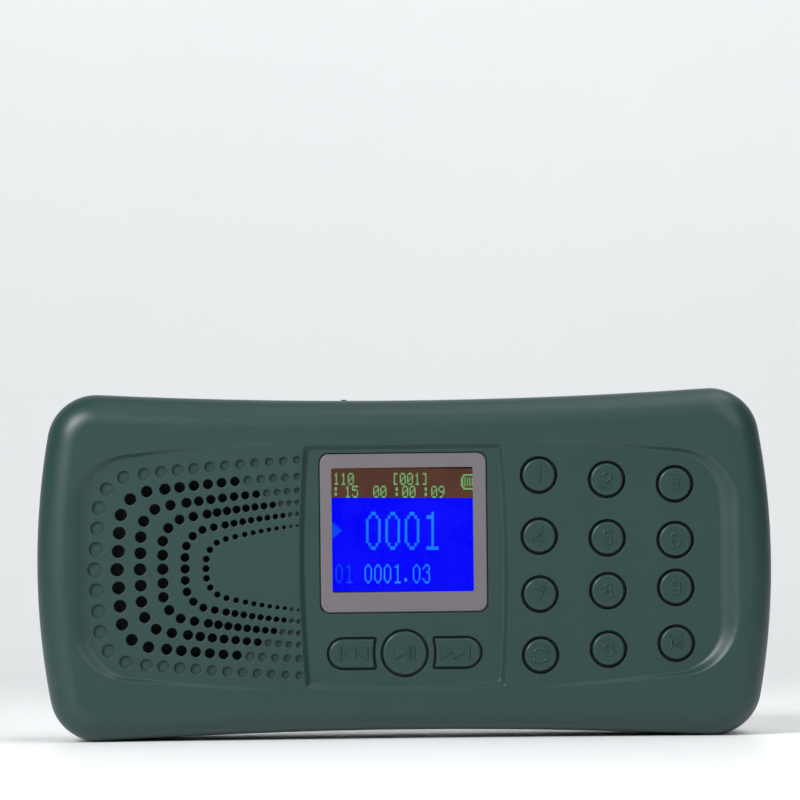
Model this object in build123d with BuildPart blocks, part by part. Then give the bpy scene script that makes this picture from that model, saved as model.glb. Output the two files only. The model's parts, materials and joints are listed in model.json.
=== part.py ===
from build123d import *
import math
import os

# A hand-size electronic game caller: loudspeaker on the left, display and transport
# keys in the middle, twelve-key pad on the right, lithium cells behind the keypad.
#
# Frame, in millimetres: X to the right seen from the front, the front faces -Y, Z is up,
# and the origin is on the ground below the middle of the case.
# A "depth" is a distance in front of the case's middle plane, so y = -depth.
# Heights (z) inside sketches are measured from the case's centre line.

# ---- case ------------------------------------------------------------------------------
HALF_WIDTH = 89.0          # at mid height, where the ends bow out most
WAIST = 40.0               # half height in the middle, where the long sides are hollow
SHARP_CORNER = (83.9, 42.7)  # where an end and a long side would meet unrounded
CORNER_RADIUS = 12.0
PANEL_DEPTH = 20.8         # flat panel that carries the grille and the keys
PARTING_DEPTH = 3.0        # joint between the front and rear shells
BACK_DEPTH = -23.0
FLUSH_X = 24.0             # the front is level with the panel here and rises outwards
FRONT_CURVE = 1456.0       # radius of the dished front, seen from above
FRONT_ROLL = 7.5           # rounding of the front's outer edge
BACK_ROLL = 8.0
WALL = 2.4
PANEL_THICKNESS = 2.5
PANEL_BACK = PANEL_DEPTH - PANEL_THICKNESS
LIP = 1.2                  # half of the wall that the overlapping lip takes
LIP_HEIGHT = 2.0
LIP_GAP = 0.15
SEAM = 0.35                # chamfer of each shell along the joint

# ---- panel recess and display bay ------------------------------------------------------
RECESS_HEIGHT = 30.6       # half height of the recess in the middle
RECESS_CURVE = 612.0       # radius of its long edges
RECESS_END = 76.0          # half length of its floor
RECESS_END_SLOPE = 5.0     # how far the end walls lean out
RECESS_SIDE_SLOPE = 1.3
RECESS_CORNER = 12.0
BAY_DEPTH = 1.2            # the display bay's floor is this far behind the panel
BAY_FLOOR = PANEL_DEPTH - BAY_DEPTH
BAY_SLOPE = 1.2

# ---- display ---------------------------------------------------------------------------
DISPLAY_CENTRE = (-0.1, 7.8)
FRAME_SIZE = (40.2, 38.3)
FRAME_CORNER = 2.3
WINDOW_SIZE = (34.2, 30.1)
WINDOW_CENTRE = (-0.3, 8.5)
FRAME_GAP = 0.25
FRAME_FRONT = BAY_FLOOR + 0.15
FRAME_STEP = PANEL_BACK - 0.1   # front of the frame's inner flange
FRAME_BACK = 16.9
LENS_THICKNESS = 1.0

# ---- keys ------------------------------------------------------------------------------
KEY_HOLE = 4.55            # radii
KEY_CAP = 3.9
KEY_FLANGE = 5.2
KEY_PROUD = 0.4            # how far a cap stands out of its panel
KEY_BEVEL = 0.6
FLANGE_THICKNESS = 1.0
PAD_COLUMNS = (32.7, 49.1, 65.5)
PAD_MIDDLE = -0.4          # height of the pad's mirror line
PAD_OUTER_ROW = 21.75      # distance of rows 1 and 4 from it, in the first column
PAD_OUTER_FALL = 1.25      # how much nearer each further column is
PAD_INNER_ROW = 7.0
PAD_INNER_FALL = 0.62
PAD_NAMES = (("1", "2", "3"), ("4", "5", "6"), ("7", "8", "9"), ("loop", "0", "menu"))
PLAY_CENTRE = (-0.1, -21.3)
PLAY_HOLE = 5.85
PLAY_CAP = 5.3
SKIP_ROUND = 4.0           # radius of a skip key's outer end
SKIP_ROUND_X = 14.85       # its centre, sideways from the play key
SKIP_HOLLOW = 13.7         # radius of the hollow end that faces the play key
SKIP_HOLLOW_X = 6.6        # its centre, on the play key's far side
SKIP_GAP = 0.5
SKIP_FLANGE = 0.8

# ---- grille ----------------------------------------------------------------------------
GRILLE_END = -25.6         # where all the rows of holes end
OPEN_CENTRE = (-49.3, -0.4)  # holes inside this circle go through, the rest are blind
OPEN_RADIUS = 24.0
SPEAKER_CENTRE = (-50.9, -0.4)
BLIND_DEPTH = 0.8
CORNER_STEPS = 6           # holes of even pitch round the corner, from the mirror line
GRILLE_BOW = 0.45
# left end, lean, corner height, end height, corner radius, pitch, holes, widths left and right
GRILLE_ROWS = (
    (-74.7, 1.6, 21.8, 26.0, 8.5, 5.0, 16, 3.6, 1.9),
    (-69.3, 1.2, 18.0, 22.0, 7.2, 4.42, 16, 3.2, 1.8),
    (-63.8, 0.5, 14.35, 18.65, 6.3, 3.91, 16, 2.95, 1.5),
    (-58.3, 0.0, 11.3, 15.8, 6.3, 3.39, 16, 2.7, 1.3),
    (-52.9, 0.0, 8.5, 13.0, 6.0, 2.78, 15, 2.2, 1.1),
    (-47.85, 0.0, 5.9, 10.2, 5.5, 2.34, 13, 1.65, 0.8),
)

# ---- boards ----------------------------------------------------------------------------
BOARD_FRONT = 13.6
BOARD_THICKNESS = 1.6
BOARD_BACK = BOARD_FRONT - BOARD_THICKNESS
MAT_THICKNESS = 1.0
BOARD_SCREWS = ((-19.0, 33.0), (-19.0, -33.0), (66.0, 31.0), (66.0, -31.0))
CASE_SCREWS = ((-76.5, 32.0), (-76.5, -32.0), (76.5, 32.0), (76.5, -32.0))
BOSS_RADIUS = 3.4
SCREW_RADIUS = 1.45
PILOT_RADIUS = 1.5
SMALL_SCREW = 1.1
SMALL_PILOT = 1.15

# ---- loudspeaker -----------------------------------------------------------------------
SPEAKER_RIM = 28.0
SPEAKER_FRONT = PANEL_BACK - 0.6
EAR_FRONT = SPEAKER_FRONT - 1.0
EAR_BACK = EAR_FRONT - 1.4
SPEAKER_EARS = 31.5        # radius of the circle of its four screws
EAR_RADIUS = 2.9
CONE_EDGE = 22.0           # radii
COIL_RADIUS = 6.7
POLE_RADIUS = 6.0
MAGNET_RADIUS = 16.0
BASKET_FLOOR = 2.6         # depth of the basket's back
TERMINAL_RIGHT = SPEAKER_CENTRE[0] + MAGNET_RADIUS + 3.7
TERMINAL_DEPTH = -1.0
SPEAKER_LEAD_Z = -4.0
CONE_BACK = 8.0
CONE_FRONT = 15.2

# ---- battery ---------------------------------------------------------------------------
CELL_RADIUS = 9.2
CELL_LENGTH = 65.0
CELL_PITCH = 19.6
BAY_LEFT = -7.0
BAY_RIGHT = 64.5
BATTERY_HALF_HEIGHT = 20.2
BATTERY_FLOOR = -1.0
DOOR_THICKNESS = 2.2
DOOR_GAP = 0.3
DOOR_SCREW_X = 4.5         # distance of a door screw from the door's end

# ---- controls and sockets --------------------------------------------------------------
KNOB_RADIUS = 4.35
KNOB_DEPTH = -6.0
KNOB_Z = 0.3
KNOB_REACH = 90.7          # how far out the knob's domed end is from the middle
SHAFT_RADIUS = 1.45
POT_FACE = -83.2
POT_LENGTH = 6.0
POT_GAP = 0.1              # play of the volume control in its cradle
SWITCH_X = -14.5           # where the switch's knob stands when it is off
SWITCH_DEPTH = -9.0
SWITCH_TRAVEL = 4.0
AUDIO_Z = 20.0
AUDIO_BORE = 1.8           # radius of a 3.5 mm socket's bore
AUDIO_BORE_LENGTH = 12.0
POWER_Z = 9.0
POWER_BORE = 2.85
POWER_PIN = 1.0
USB_Z = -4.5
USB_SHELL = (13.2, 5.8)    # width along the end wall, height off the board
USB_OPENING = (12.5, 5.1)
CARD_Z = -19.5
CARD_SHELL = (12.8, 1.9)
CARD_OPENING = (11.3, 1.1)
SOCKET_LENGTH = 14.0
USB_HEIGHT = USB_SHELL[1]
POWER_HEIGHT = 7.0
POWER_MIDDLE = POWER_HEIGHT / 2 - BOARD_BACK    # y of the jack's axis
AUDIO_HEIGHT = 6.4
AUDIO_MIDDLE = AUDIO_HEIGHT / 2 - BOARD_BACK


# ---- helpers ---------------------------------------------------------------------------

def layer(depth):
    """Plane parallel to the front at a depth, facing forwards, y up from the centre line."""
    return Plane(origin=(0, -depth, CENTRE_HEIGHT), x_dir=(1, 0, 0), z_dir=(0, -1, 0))


def end_plane(x):
    """Plane across the case, facing right: sketch x is the depth backwards, y is up."""
    return Plane(origin=(x, 0, CENTRE_HEIGHT), x_dir=(0, 1, 0), z_dir=(1, 0, 0))


def top_plane(height):
    """Horizontal plane at a height above the centre line."""
    return Plane.XY.offset(CENTRE_HEIGHT + height)


def socket_face(far_z):
    """X of a socket's mouth: just inside the bowed end wall, out to a height."""
    x, z = SHARP_CORNER
    bow = HALF_WIDTH - x
    end_curve = (z**2 + bow**2) / (2 * bow)
    return HALF_WIDTH - far_z**2 / (2 * end_curve) - WALL - 0.3


def case_outline(inset=0.0):
    """Case outline: bowed ends, hollow long sides, round corners."""
    x, z = SHARP_CORNER
    with BuildSketch() as outline:
        with BuildLine():
            ThreePointArc((-x, z), (0, WAIST), (x, z))
            ThreePointArc((x, z), (HALF_WIDTH, 0), (x, -z))
            ThreePointArc((x, -z), (0, -WAIST), (-x, -z))
            ThreePointArc((-x, -z), (-HALF_WIDTH, 0), (-x, z))
        make_face()
        fillet(outline.vertices(), radius=CORNER_RADIUS)
        if inset:
            offset(amount=-inset)
    return outline.sketch


def recess_outline(grow_end, grow_side):
    """Outline of the panel recess, its ends and long sides moved out by two amounts."""
    x = RECESS_END + grow_end
    middle = RECESS_HEIGHT + grow_side
    z = middle - x**2 / (2 * RECESS_CURVE)
    with BuildSketch() as outline:
        with BuildLine():
            ThreePointArc((-x, z), (0, middle), (x, z))
            Line((x, z), (x, -z))
            ThreePointArc((x, -z), (0, -middle), (-x, -z))
            Line((-x, -z), (-x, z))
        make_face()
        fillet(outline.vertices(), radius=RECESS_CORNER + grow_end / 2)
    return outline.sketch


def bay_outline(grow):
    """Outline of the display bay: straight top, bowed sides and bottom."""
    side = 22.8 + grow
    top = 27.8 + grow
    bottom = -28.2 - grow
    with BuildSketch() as outline:
        with BuildLine():
            Line((-side, top), (side, top))
            ThreePointArc((side, top), (side + 1.2, 0), (side, bottom))
            ThreePointArc((side, bottom), (0, bottom - 1.1), (-side, bottom))
            ThreePointArc((-side, bottom), (-side - 1.2, 0), (-side, top))
        make_face()
    return outline.sketch


def skip_key_outline(side, radius, hollow):
    """A skip key's outline: round outer end, hollow end round the play key."""
    x, z = PLAY_CENTRE
    centre = x + side * SKIP_ROUND_X
    with BuildSketch() as outline:
        with Locations((centre, z)):
            Circle(radius)
        with Locations(((centre + x) / 2, z)):
            Rectangle(abs(centre - x), 2 * radius)
        with Locations((x - side * SKIP_HOLLOW_X, z)):
            Circle(hollow, mode=Mode.SUBTRACT)
        near = outline.vertices().sort_by_distance((x, z, 0))[0:2]
        fillet(near, radius=0.7)
    return outline.sketch


def pad_keys():
    """Yield each pad key's name and centre."""
    for row, names in enumerate(PAD_NAMES):
        side = 1 if row < 2 else -1
        outer = row in (0, 3)
        for column, name in enumerate(names):
            first = PAD_OUTER_ROW if outer else PAD_INNER_ROW
            fall = PAD_OUTER_FALL if outer else PAD_INNER_FALL
            yield name, PAD_COLUMNS[column], PAD_MIDDLE + side * (first - fall * column)


def grille_holes():
    """Yield x, z and diameter of every grille hole, rows nested like the letter C."""
    for left, lean, corner, end, radius, pitch, count, wide, narrow in GRILLE_ROWS:
        start = (left, 0)
        bend = (left + lean, corner)
        finish = (GRILLE_END, end)
        with BuildLine() as row_line:
            FilletPolyline(start, bend, finish, radius=radius)
        row = row_line.wires()[0]
        rest = count - CORNER_STEPS
        mean_step = (row.length - CORNER_STEPS * pitch) / rest
        for hole in range(count + 1):
            along = min(hole, CORNER_STEPS) * pitch
            late = max(hole - CORNER_STEPS, 0)
            shrink = 0.12 * (1 - late / rest)
            along += late * mean_step * (1 + shrink)
            point = row.position_at(along / row.length)
            across = max(0.0, (point.X - bend[0]) / (GRILLE_END - bend[0]))
            bow = GRILLE_BOW * 4 * across * (1 - across)
            diameter = wide + (narrow - wide) * hole / count
            yield point.X, PAD_MIDDLE + point.Y + bow, diameter
            if hole:
                yield point.X, PAD_MIDDLE - point.Y - bow, diameter


def save(part, name):
    """Label one finished piece and write it."""
    part.label = name
    export_step(part, f"parts/{name}.step")


os.makedirs("parts", exist_ok=True)

CENTRE_HEIGHT = case_outline().bounding_box().max.Y

# ---- front shell -----------------------------------------------------------------------

with BuildPart() as front_hollow:
    with BuildSketch(layer(PARTING_DEPTH)):
        add(case_outline(WALL))
    extrude(amount=PANEL_BACK - PARTING_DEPTH)
    fillet(front_hollow.faces().sort_by(Axis.Y)[0].edges(), radius=4.0)

with BuildPart() as recess_cutter:
    with BuildSketch(layer(PANEL_DEPTH)):
        add(recess_outline(0.0, -RECESS_SIDE_SLOPE / 2))
    with BuildSketch(layer(PANEL_DEPTH + 2.2)):
        add(recess_outline(RECESS_END_SLOPE, RECESS_SIDE_SLOPE / 2))
    loft(ruled=True)

with BuildPart() as bay_cutter:
    with BuildSketch(layer(BAY_FLOOR)):
        add(bay_outline(0.0))
    with BuildSketch(layer(BAY_FLOOR + BAY_DEPTH)):
        add(bay_outline(BAY_SLOPE))
    loft(ruled=True)

open_holes = []
blind_holes = []
for x, z, diameter in grille_holes():
    from_centre = math.dist((x, z), OPEN_CENTRE)
    group = open_holes if from_centre < OPEN_RADIUS else blind_holes
    group.append((x, z, diameter))

with BuildPart() as front_shell:
    with BuildSketch(layer(PARTING_DEPTH)):
        add(case_outline())
    extrude(amount=PANEL_DEPTH + 3.0 - PARTING_DEPTH)
    chamfer(front_shell.faces().sort_by(Axis.Y)[-1].edges(), length=SEAM)
    # the dished front, wide of the ends on both sides
    with BuildSketch(Plane.XY.offset(-1.0)):
        reach = HALF_WIDTH + 6.0
        rise = (reach**2 - FLUSH_X**2) / (2 * FRONT_CURVE)
        middle = PANEL_DEPTH - FLUSH_X**2 / (2 * FRONT_CURVE)
        with BuildLine():
            ThreePointArc((-reach, -PANEL_DEPTH - rise), (0, -middle), (reach, -PANEL_DEPTH - rise))
            Polyline(
                (reach, -PANEL_DEPTH - rise), (reach, 0), (-reach, 0), (-reach, -PANEL_DEPTH - rise)
            )
        make_face()
    extrude(amount=2 * CENTRE_HEIGHT + 2.0, mode=Mode.INTERSECT)
    fillet(front_shell.faces().sort_by(Axis.Y)[0].edges(), radius=FRONT_ROLL)
    add(front_hollow.part, mode=Mode.SUBTRACT)
    add(recess_cutter.part, mode=Mode.SUBTRACT)
    add(bay_cutter.part, mode=Mode.SUBTRACT)
    # step for the rear shell's lip
    with BuildSketch(layer(PARTING_DEPTH)):
        add(case_outline(LIP))
        add(case_outline(WALL + 0.5), mode=Mode.SUBTRACT)
    extrude(amount=LIP_HEIGHT, mode=Mode.SUBTRACT)
    # seat ring round the loudspeaker
    with BuildSketch(layer(PANEL_BACK)):
        with Locations(SPEAKER_CENTRE):
            Circle(SPEAKER_RIM + 1.2)
            Circle(SPEAKER_RIM + 0.3, mode=Mode.SUBTRACT)
    extrude(amount=-1.6)
    # bosses for the case, board and loudspeaker screws
    with BuildSketch(layer(PARTING_DEPTH)):
        with Locations(*CASE_SCREWS):
            Circle(BOSS_RADIUS)
    extrude(amount=PANEL_BACK - PARTING_DEPTH + 0.5)
    with BuildSketch(layer(BOARD_FRONT)):
        with Locations(*BOARD_SCREWS):
            Circle(2.9)
    extrude(amount=PANEL_BACK - BOARD_FRONT + 0.5)
    with BuildSketch(layer(EAR_FRONT)):
        with Locations(SPEAKER_CENTRE):
            with PolarLocations(SPEAKER_EARS, 4, start_angle=45):
                Circle(EAR_RADIUS)
    extrude(amount=PANEL_BACK - EAR_FRONT + 0.5)
    # pilot holes for their screws
    with BuildSketch(layer(PARTING_DEPTH)):
        with Locations(*CASE_SCREWS):
            Circle(PILOT_RADIUS)
    extrude(amount=11.0, mode=Mode.SUBTRACT)
    with BuildSketch(layer(BOARD_FRONT)):
        with Locations(*BOARD_SCREWS):
            Circle(SMALL_PILOT)
    extrude(amount=4.4, mode=Mode.SUBTRACT)
    with BuildSketch(layer(EAR_FRONT)):
        with Locations(SPEAKER_CENTRE):
            with PolarLocations(SPEAKER_EARS, 4, start_angle=45):
                Circle(SMALL_PILOT)
    extrude(amount=3.0, mode=Mode.SUBTRACT)
    # window for the display frame, and the key holes
    with BuildSketch(layer(PANEL_BACK - 1.0)):
        with Locations(DISPLAY_CENTRE):
            width, height = FRAME_SIZE
            RectangleRounded(width + 2 * FRAME_GAP, height + 2 * FRAME_GAP, FRAME_CORNER)
        with Locations(PLAY_CENTRE):
            Circle(PLAY_HOLE)
        with Locations(*[(x, z) for name, x, z in pad_keys()]):
            Circle(KEY_HOLE)
    extrude(amount=PANEL_THICKNESS + 4.0, mode=Mode.SUBTRACT)
    for side in (-1, 1):
        with BuildSketch(layer(PANEL_BACK - 1.0)):
            add(skip_key_outline(side, SKIP_ROUND, SKIP_HOLLOW))
        extrude(amount=PANEL_THICKNESS + 4.0, mode=Mode.SUBTRACT)
    # grille: open holes in front of the loudspeaker, blind dimples outside its circle
    with BuildSketch(layer(PANEL_BACK - 1.0)):
        for x, z, diameter in open_holes:
            with Locations((x, z)):
                Circle(diameter / 2)
    extrude(amount=PANEL_THICKNESS + 3.0, mode=Mode.SUBTRACT)
    with BuildSketch(layer(PANEL_DEPTH - BLIND_DEPTH)):
        for x, z, diameter in blind_holes:
            with Locations((x, z)):
                Circle(diameter / 2)
    extrude(amount=2.0, mode=Mode.SUBTRACT)
    # openings in the right end wall for the sockets on the board's edge
    with BuildSketch(end_plane(socket_face(CARD_Z) - 6.0)):
        with Locations((USB_HEIGHT / 2 - BOARD_BACK, USB_Z)):
            RectangleRounded(USB_HEIGHT + 0.7, USB_SHELL[0] + 0.7, 0.6)
        with Locations((POWER_MIDDLE, POWER_Z)):
            Circle(3.6)
        with Locations((AUDIO_MIDDLE, AUDIO_Z)):
            Circle(3.2)
        with Locations((CARD_SHELL[1] / 2 - BOARD_BACK, CARD_Z)):
            RectangleRounded(CARD_SHELL[1] + 0.6, CARD_SHELL[0] + 0.2, 0.5)
    extrude(amount=14.0, mode=Mode.SUBTRACT)
save(front_shell.part, "front_shell")


# ---- rear shell ------------------------------------------------------------------------

DOOR_LEFT = BAY_LEFT - 8.0
DOOR_RIGHT = BAY_RIGHT + 8.0
DOOR_HALF_HEIGHT = BATTERY_HALF_HEIGHT + 2.4
DOOR_MIDDLE = (DOOR_LEFT + DOOR_RIGHT) / 2
DOOR_LENGTH = DOOR_RIGHT - DOOR_LEFT
DOOR_INNER = BACK_DEPTH + DOOR_THICKNESS
DOOR_SCREWS = ((DOOR_LEFT + DOOR_SCREW_X, 0), (DOOR_RIGHT - DOOR_SCREW_X, 0))
SCREW_SEAT = -6.0          # depth where a case screw's head bears
SLOT_MIDDLE = SWITCH_X + SWITCH_TRAVEL / 2

with BuildPart() as rear_hollow:
    with BuildSketch(layer(BACK_DEPTH + WALL)):
        add(case_outline(WALL))
    extrude(amount=PARTING_DEPTH - BACK_DEPTH - WALL)
    fillet(rear_hollow.faces().sort_by(Axis.Y)[-1].edges(), radius=BACK_ROLL - WALL)

with BuildPart() as rear_shell:
    with BuildSketch(layer(BACK_DEPTH)):
        add(case_outline())
    extrude(amount=PARTING_DEPTH - BACK_DEPTH)
    chamfer(rear_shell.faces().sort_by(Axis.Y)[0].edges(), length=SEAM)
    fillet(rear_shell.faces().sort_by(Axis.Y)[-1].edges(), radius=BACK_ROLL)
    add(rear_hollow.part, mode=Mode.SUBTRACT)
    # overlapping lip
    with BuildSketch(layer(PARTING_DEPTH - 1.0)):
        add(case_outline(LIP + LIP_GAP))
        add(case_outline(WALL), mode=Mode.SUBTRACT)
    extrude(amount=LIP_HEIGHT + 1.0 - LIP_GAP)
    # battery box, and a thick ledge round it that the door lies on
    with BuildSketch(layer(DOOR_INNER)):
        with Locations((DOOR_MIDDLE, 0)):
            Rectangle(DOOR_LENGTH + 3.2, 2 * DOOR_HALF_HEIGHT + 3.2)
    extrude(amount=WALL)
    with BuildSketch(layer(DOOR_INNER)):
        with Locations(((BAY_LEFT + BAY_RIGHT) / 2, 0)):
            Rectangle(BAY_RIGHT - BAY_LEFT + 3.2, 2 * BATTERY_HALF_HEIGHT + 3.2)
    extrude(amount=BATTERY_FLOOR + 1.6 - DOOR_INNER)
    with BuildSketch(layer(DOOR_INNER)):
        with Locations(*DOOR_SCREWS):
            Circle(2.9)
    extrude(amount=11.0)
    # columns for the case screws, a cradle for the volume control, ribs for the power switch
    with BuildSketch(layer(BACK_DEPTH + 1.0)):
        with Locations(*CASE_SCREWS):
            Circle(BOSS_RADIUS + 0.8)
    extrude(amount=PARTING_DEPTH - BACK_DEPTH - 1.0)
    with BuildSketch(layer(BACK_DEPTH + 1.0)):
        with Locations((POT_FACE - POT_GAP, KNOB_Z)):
            Rectangle(POT_LENGTH + 1.6, 14.0, align=(Align.MIN, Align.CENTER))
            Rectangle(
                POT_LENGTH + 2 * POT_GAP, 11.2, align=(Align.MIN, Align.CENTER), mode=Mode.SUBTRACT
            )
    extrude(amount=KNOB_DEPTH - BACK_DEPTH - 1.0)
    with BuildSketch(layer(BACK_DEPTH + 1.0)):
        with Locations((POT_FACE - POT_GAP, KNOB_Z)):
            Rectangle(POT_LENGTH + 1.6, 14.0, align=(Align.MIN, Align.CENTER))
    extrude(amount=KNOB_DEPTH - 4.75 - BACK_DEPTH - 1.0)
    with BuildSketch(layer(SWITCH_DEPTH - 3.0)):
        with Locations((SLOT_MIDDLE - 5.9, 35.0), (SLOT_MIDDLE + 5.9, 35.0)):
            Rectangle(1.2, 6.0)
    extrude(amount=6.0)
    # battery bay and door recess
    with BuildSketch(layer(BACK_DEPTH - 1.0)):
        with Locations(((BAY_LEFT + BAY_RIGHT) / 2, 0)):
            Rectangle(BAY_RIGHT - BAY_LEFT, 2 * BATTERY_HALF_HEIGHT)
    extrude(amount=BATTERY_FLOOR - BACK_DEPTH + 1.0, mode=Mode.SUBTRACT)
    with BuildSketch(layer(BACK_DEPTH - 1.0)):
        with Locations((DOOR_MIDDLE, 0)):
            RectangleRounded(DOOR_LENGTH, 2 * DOOR_HALF_HEIGHT, 3.0)
    extrude(amount=DOOR_THICKNESS + 1.0, mode=Mode.SUBTRACT)
    with BuildSketch(layer(DOOR_INNER)):
        with Locations(*DOOR_SCREWS):
            Circle(PILOT_RADIUS)
    extrude(amount=9.5, mode=Mode.SUBTRACT)
    # case screw holes with deep counterbores
    with BuildSketch(layer(BACK_DEPTH - 1.0)):
        with Locations(*CASE_SCREWS):
            Circle(SCREW_RADIUS + 0.3)
    extrude(amount=PARTING_DEPTH - BACK_DEPTH + 2.0, mode=Mode.SUBTRACT)
    with BuildSketch(layer(BACK_DEPTH - 1.0)):
        with Locations(*CASE_SCREWS):
            Circle(3.1)
    extrude(amount=SCREW_SEAT - BACK_DEPTH + 1.0, mode=Mode.SUBTRACT)
    # hole for the volume knob in the left end, slot for the power switch in the top
    with BuildSketch(end_plane(-HALF_WIDTH - 2.0)):
        with Locations((-KNOB_DEPTH, KNOB_Z)):
            Circle(KNOB_RADIUS + 0.35)
    extrude(amount=6.0, mode=Mode.SUBTRACT)
    with BuildSketch(top_plane(WAIST - 4.0)):
        with Locations((SLOT_MIDDLE, -SWITCH_DEPTH)):
            RectangleRounded(SWITCH_TRAVEL + 4.4, 4.0, 0.4)
    extrude(amount=8.0, mode=Mode.SUBTRACT)
save(rear_shell.part, "rear_shell")

# ---- fasteners -------------------------------------------------------------------------

def screws(places, seat, head_radius, head_height, shank_radius, shank_length):
    """Cross-head screws driven forwards, their heads bearing at a depth."""
    with BuildPart() as group:
        with BuildSketch(layer(seat - head_height)):
            with Locations(*places):
                Circle(head_radius)
        extrude(amount=head_height)
        heads = group.faces().sort_by(Axis.Y)[-len(places):]
        fillet(heads.edges(), radius=head_height * 0.35)
        with BuildSketch(layer(seat)):
            with Locations(*places):
                Circle(shank_radius)
        extrude(amount=shank_length)
        with BuildSketch(layer(seat - head_height)):
            with Locations(*places):
                Rectangle(head_radius * 1.2, head_radius * 0.26)
                Rectangle(head_radius * 0.26, head_radius * 1.2)
        extrude(amount=head_height * 0.6, mode=Mode.SUBTRACT)
    return group.part


speaker_x, speaker_z = SPEAKER_CENTRE
ear_reach = SPEAKER_EARS * math.sqrt(0.5)
SPEAKER_SCREWS = [
    (speaker_x + side_x * ear_reach, speaker_z + side_z * ear_reach)
    for side_x in (-1, 1)
    for side_z in (-1, 1)
]
save(screws(CASE_SCREWS, SCREW_SEAT, 2.8, 2.2, SCREW_RADIUS, 18.0), "case_screws")
save(screws(BOARD_SCREWS, BOARD_BACK, 2.3, 1.5, SMALL_SCREW, 5.4), "board_screws")
save(screws(SPEAKER_SCREWS, EAR_BACK, 2.2, 1.4, SMALL_SCREW, 4.0), "speaker_screws")
save(screws(DOOR_SCREWS, DOOR_INNER - 1.2, 2.6, 1.0, SCREW_RADIUS, 10.0), "door_screws")

# ---- battery ---------------------------------------------------------------------------

with BuildPart() as battery_door:
    with BuildSketch(layer(BACK_DEPTH)):
        with Locations((DOOR_MIDDLE, 0)):
            RectangleRounded(DOOR_LENGTH - 2 * DOOR_GAP, 2 * (DOOR_HALF_HEIGHT - DOOR_GAP), 2.7)
    extrude(amount=DOOR_THICKNESS)
    chamfer(battery_door.faces().sort_by(Axis.Y)[-1].edges(), length=0.4)
    with BuildSketch(layer(BACK_DEPTH - 1.0)):
        with Locations(*DOOR_SCREWS):
            Circle(PILOT_RADIUS + 0.1)
    extrude(amount=DOOR_THICKNESS + 2.0, mode=Mode.SUBTRACT)
    with BuildSketch(layer(BACK_DEPTH)):
        with Locations(*DOOR_SCREWS):
            Circle(3.0)
    extrude(amount=1.0, mode=Mode.SUBTRACT)
    # grip grooves across the middle
    with BuildSketch(layer(BACK_DEPTH)):
        with Locations((DOOR_MIDDLE, 0)):
            with GridLocations(4.0, 0, 7, 1):
                SlotOverall(24.0, 1.4, rotation=90)
    extrude(amount=0.6, mode=Mode.SUBTRACT)
save(battery_door.part, "battery_door")

CELL_DEPTH = BATTERY_FLOOR - 0.2 - CELL_RADIUS
CELL_END = BAY_RIGHT - 0.7
with BuildPart() as battery_cells:
    with BuildSketch(end_plane(CELL_END - 1.0)):
        with Locations((-CELL_DEPTH, CELL_PITCH / 2), (-CELL_DEPTH, -CELL_PITCH / 2)):
            Circle(CELL_RADIUS)
    extrude(amount=1.0 - CELL_LENGTH)
    fillet(battery_cells.edges().filter_by(GeomType.CIRCLE), radius=0.8)
    with BuildSketch(end_plane(CELL_END - 1.2)):
        with Locations((-CELL_DEPTH, CELL_PITCH / 2), (-CELL_DEPTH, -CELL_PITCH / 2)):
            Circle(2.8)
    extrude(amount=1.2)
save(battery_cells.part, "battery_cells")

with BuildPart() as battery_contacts:
    with BuildSketch(layer(CELL_DEPTH - 4.0)):
        with Locations((BAY_RIGHT - 0.3, 0)):
            Rectangle(0.5, 35.0)
    extrude(amount=8.0)
    with BuildSketch(layer(CELL_DEPTH - 3.0)):
        with Locations((BAY_LEFT + 0.35, 0)):
            Rectangle(0.5, 35.0)
        for z in (-CELL_PITCH / 2, CELL_PITCH / 2):
            with BuildLine() as leaf:
                ThreePointArc((BAY_LEFT + 0.4, z - 7.0), (CELL_END - CELL_LENGTH - 0.35, z),
                              (BAY_LEFT + 0.4, z + 7.0))
            trace(leaf.edges(), line_width=0.4)
    extrude(amount=6.0)
save(battery_contacts.part, "battery_contacts")

# ---- loudspeaker -----------------------------------------------------------------------

SPEAKER_PLANE = Plane(
    origin=(SPEAKER_CENTRE[0], 0, CENTRE_HEIGHT + SPEAKER_CENTRE[1]),
    x_dir=(1, 0, 0),
    z_dir=(0, 0, 1),
)
SPEAKER_AXIS = Axis(origin=SPEAKER_PLANE.origin, direction=(0, -1, 0))


def turned(points):
    """Solid of revolution round the loudspeaker's axis, from (radius, depth) corners."""
    with BuildPart() as piece:
        with BuildSketch(SPEAKER_PLANE):
            with BuildLine():
                Polyline([(radius, -depth) for radius, depth in points], close=True)
            make_face()
        revolve(axis=SPEAKER_AXIS)
    return piece.part


with BuildPart() as speaker_cloth:
    with BuildSketch(layer(PANEL_BACK - 0.45)):
        with Locations(SPEAKER_CENTRE):
            Circle(SPEAKER_RIM)
    extrude(amount=0.4)
save(speaker_cloth.part, "speaker_cloth")

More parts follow.
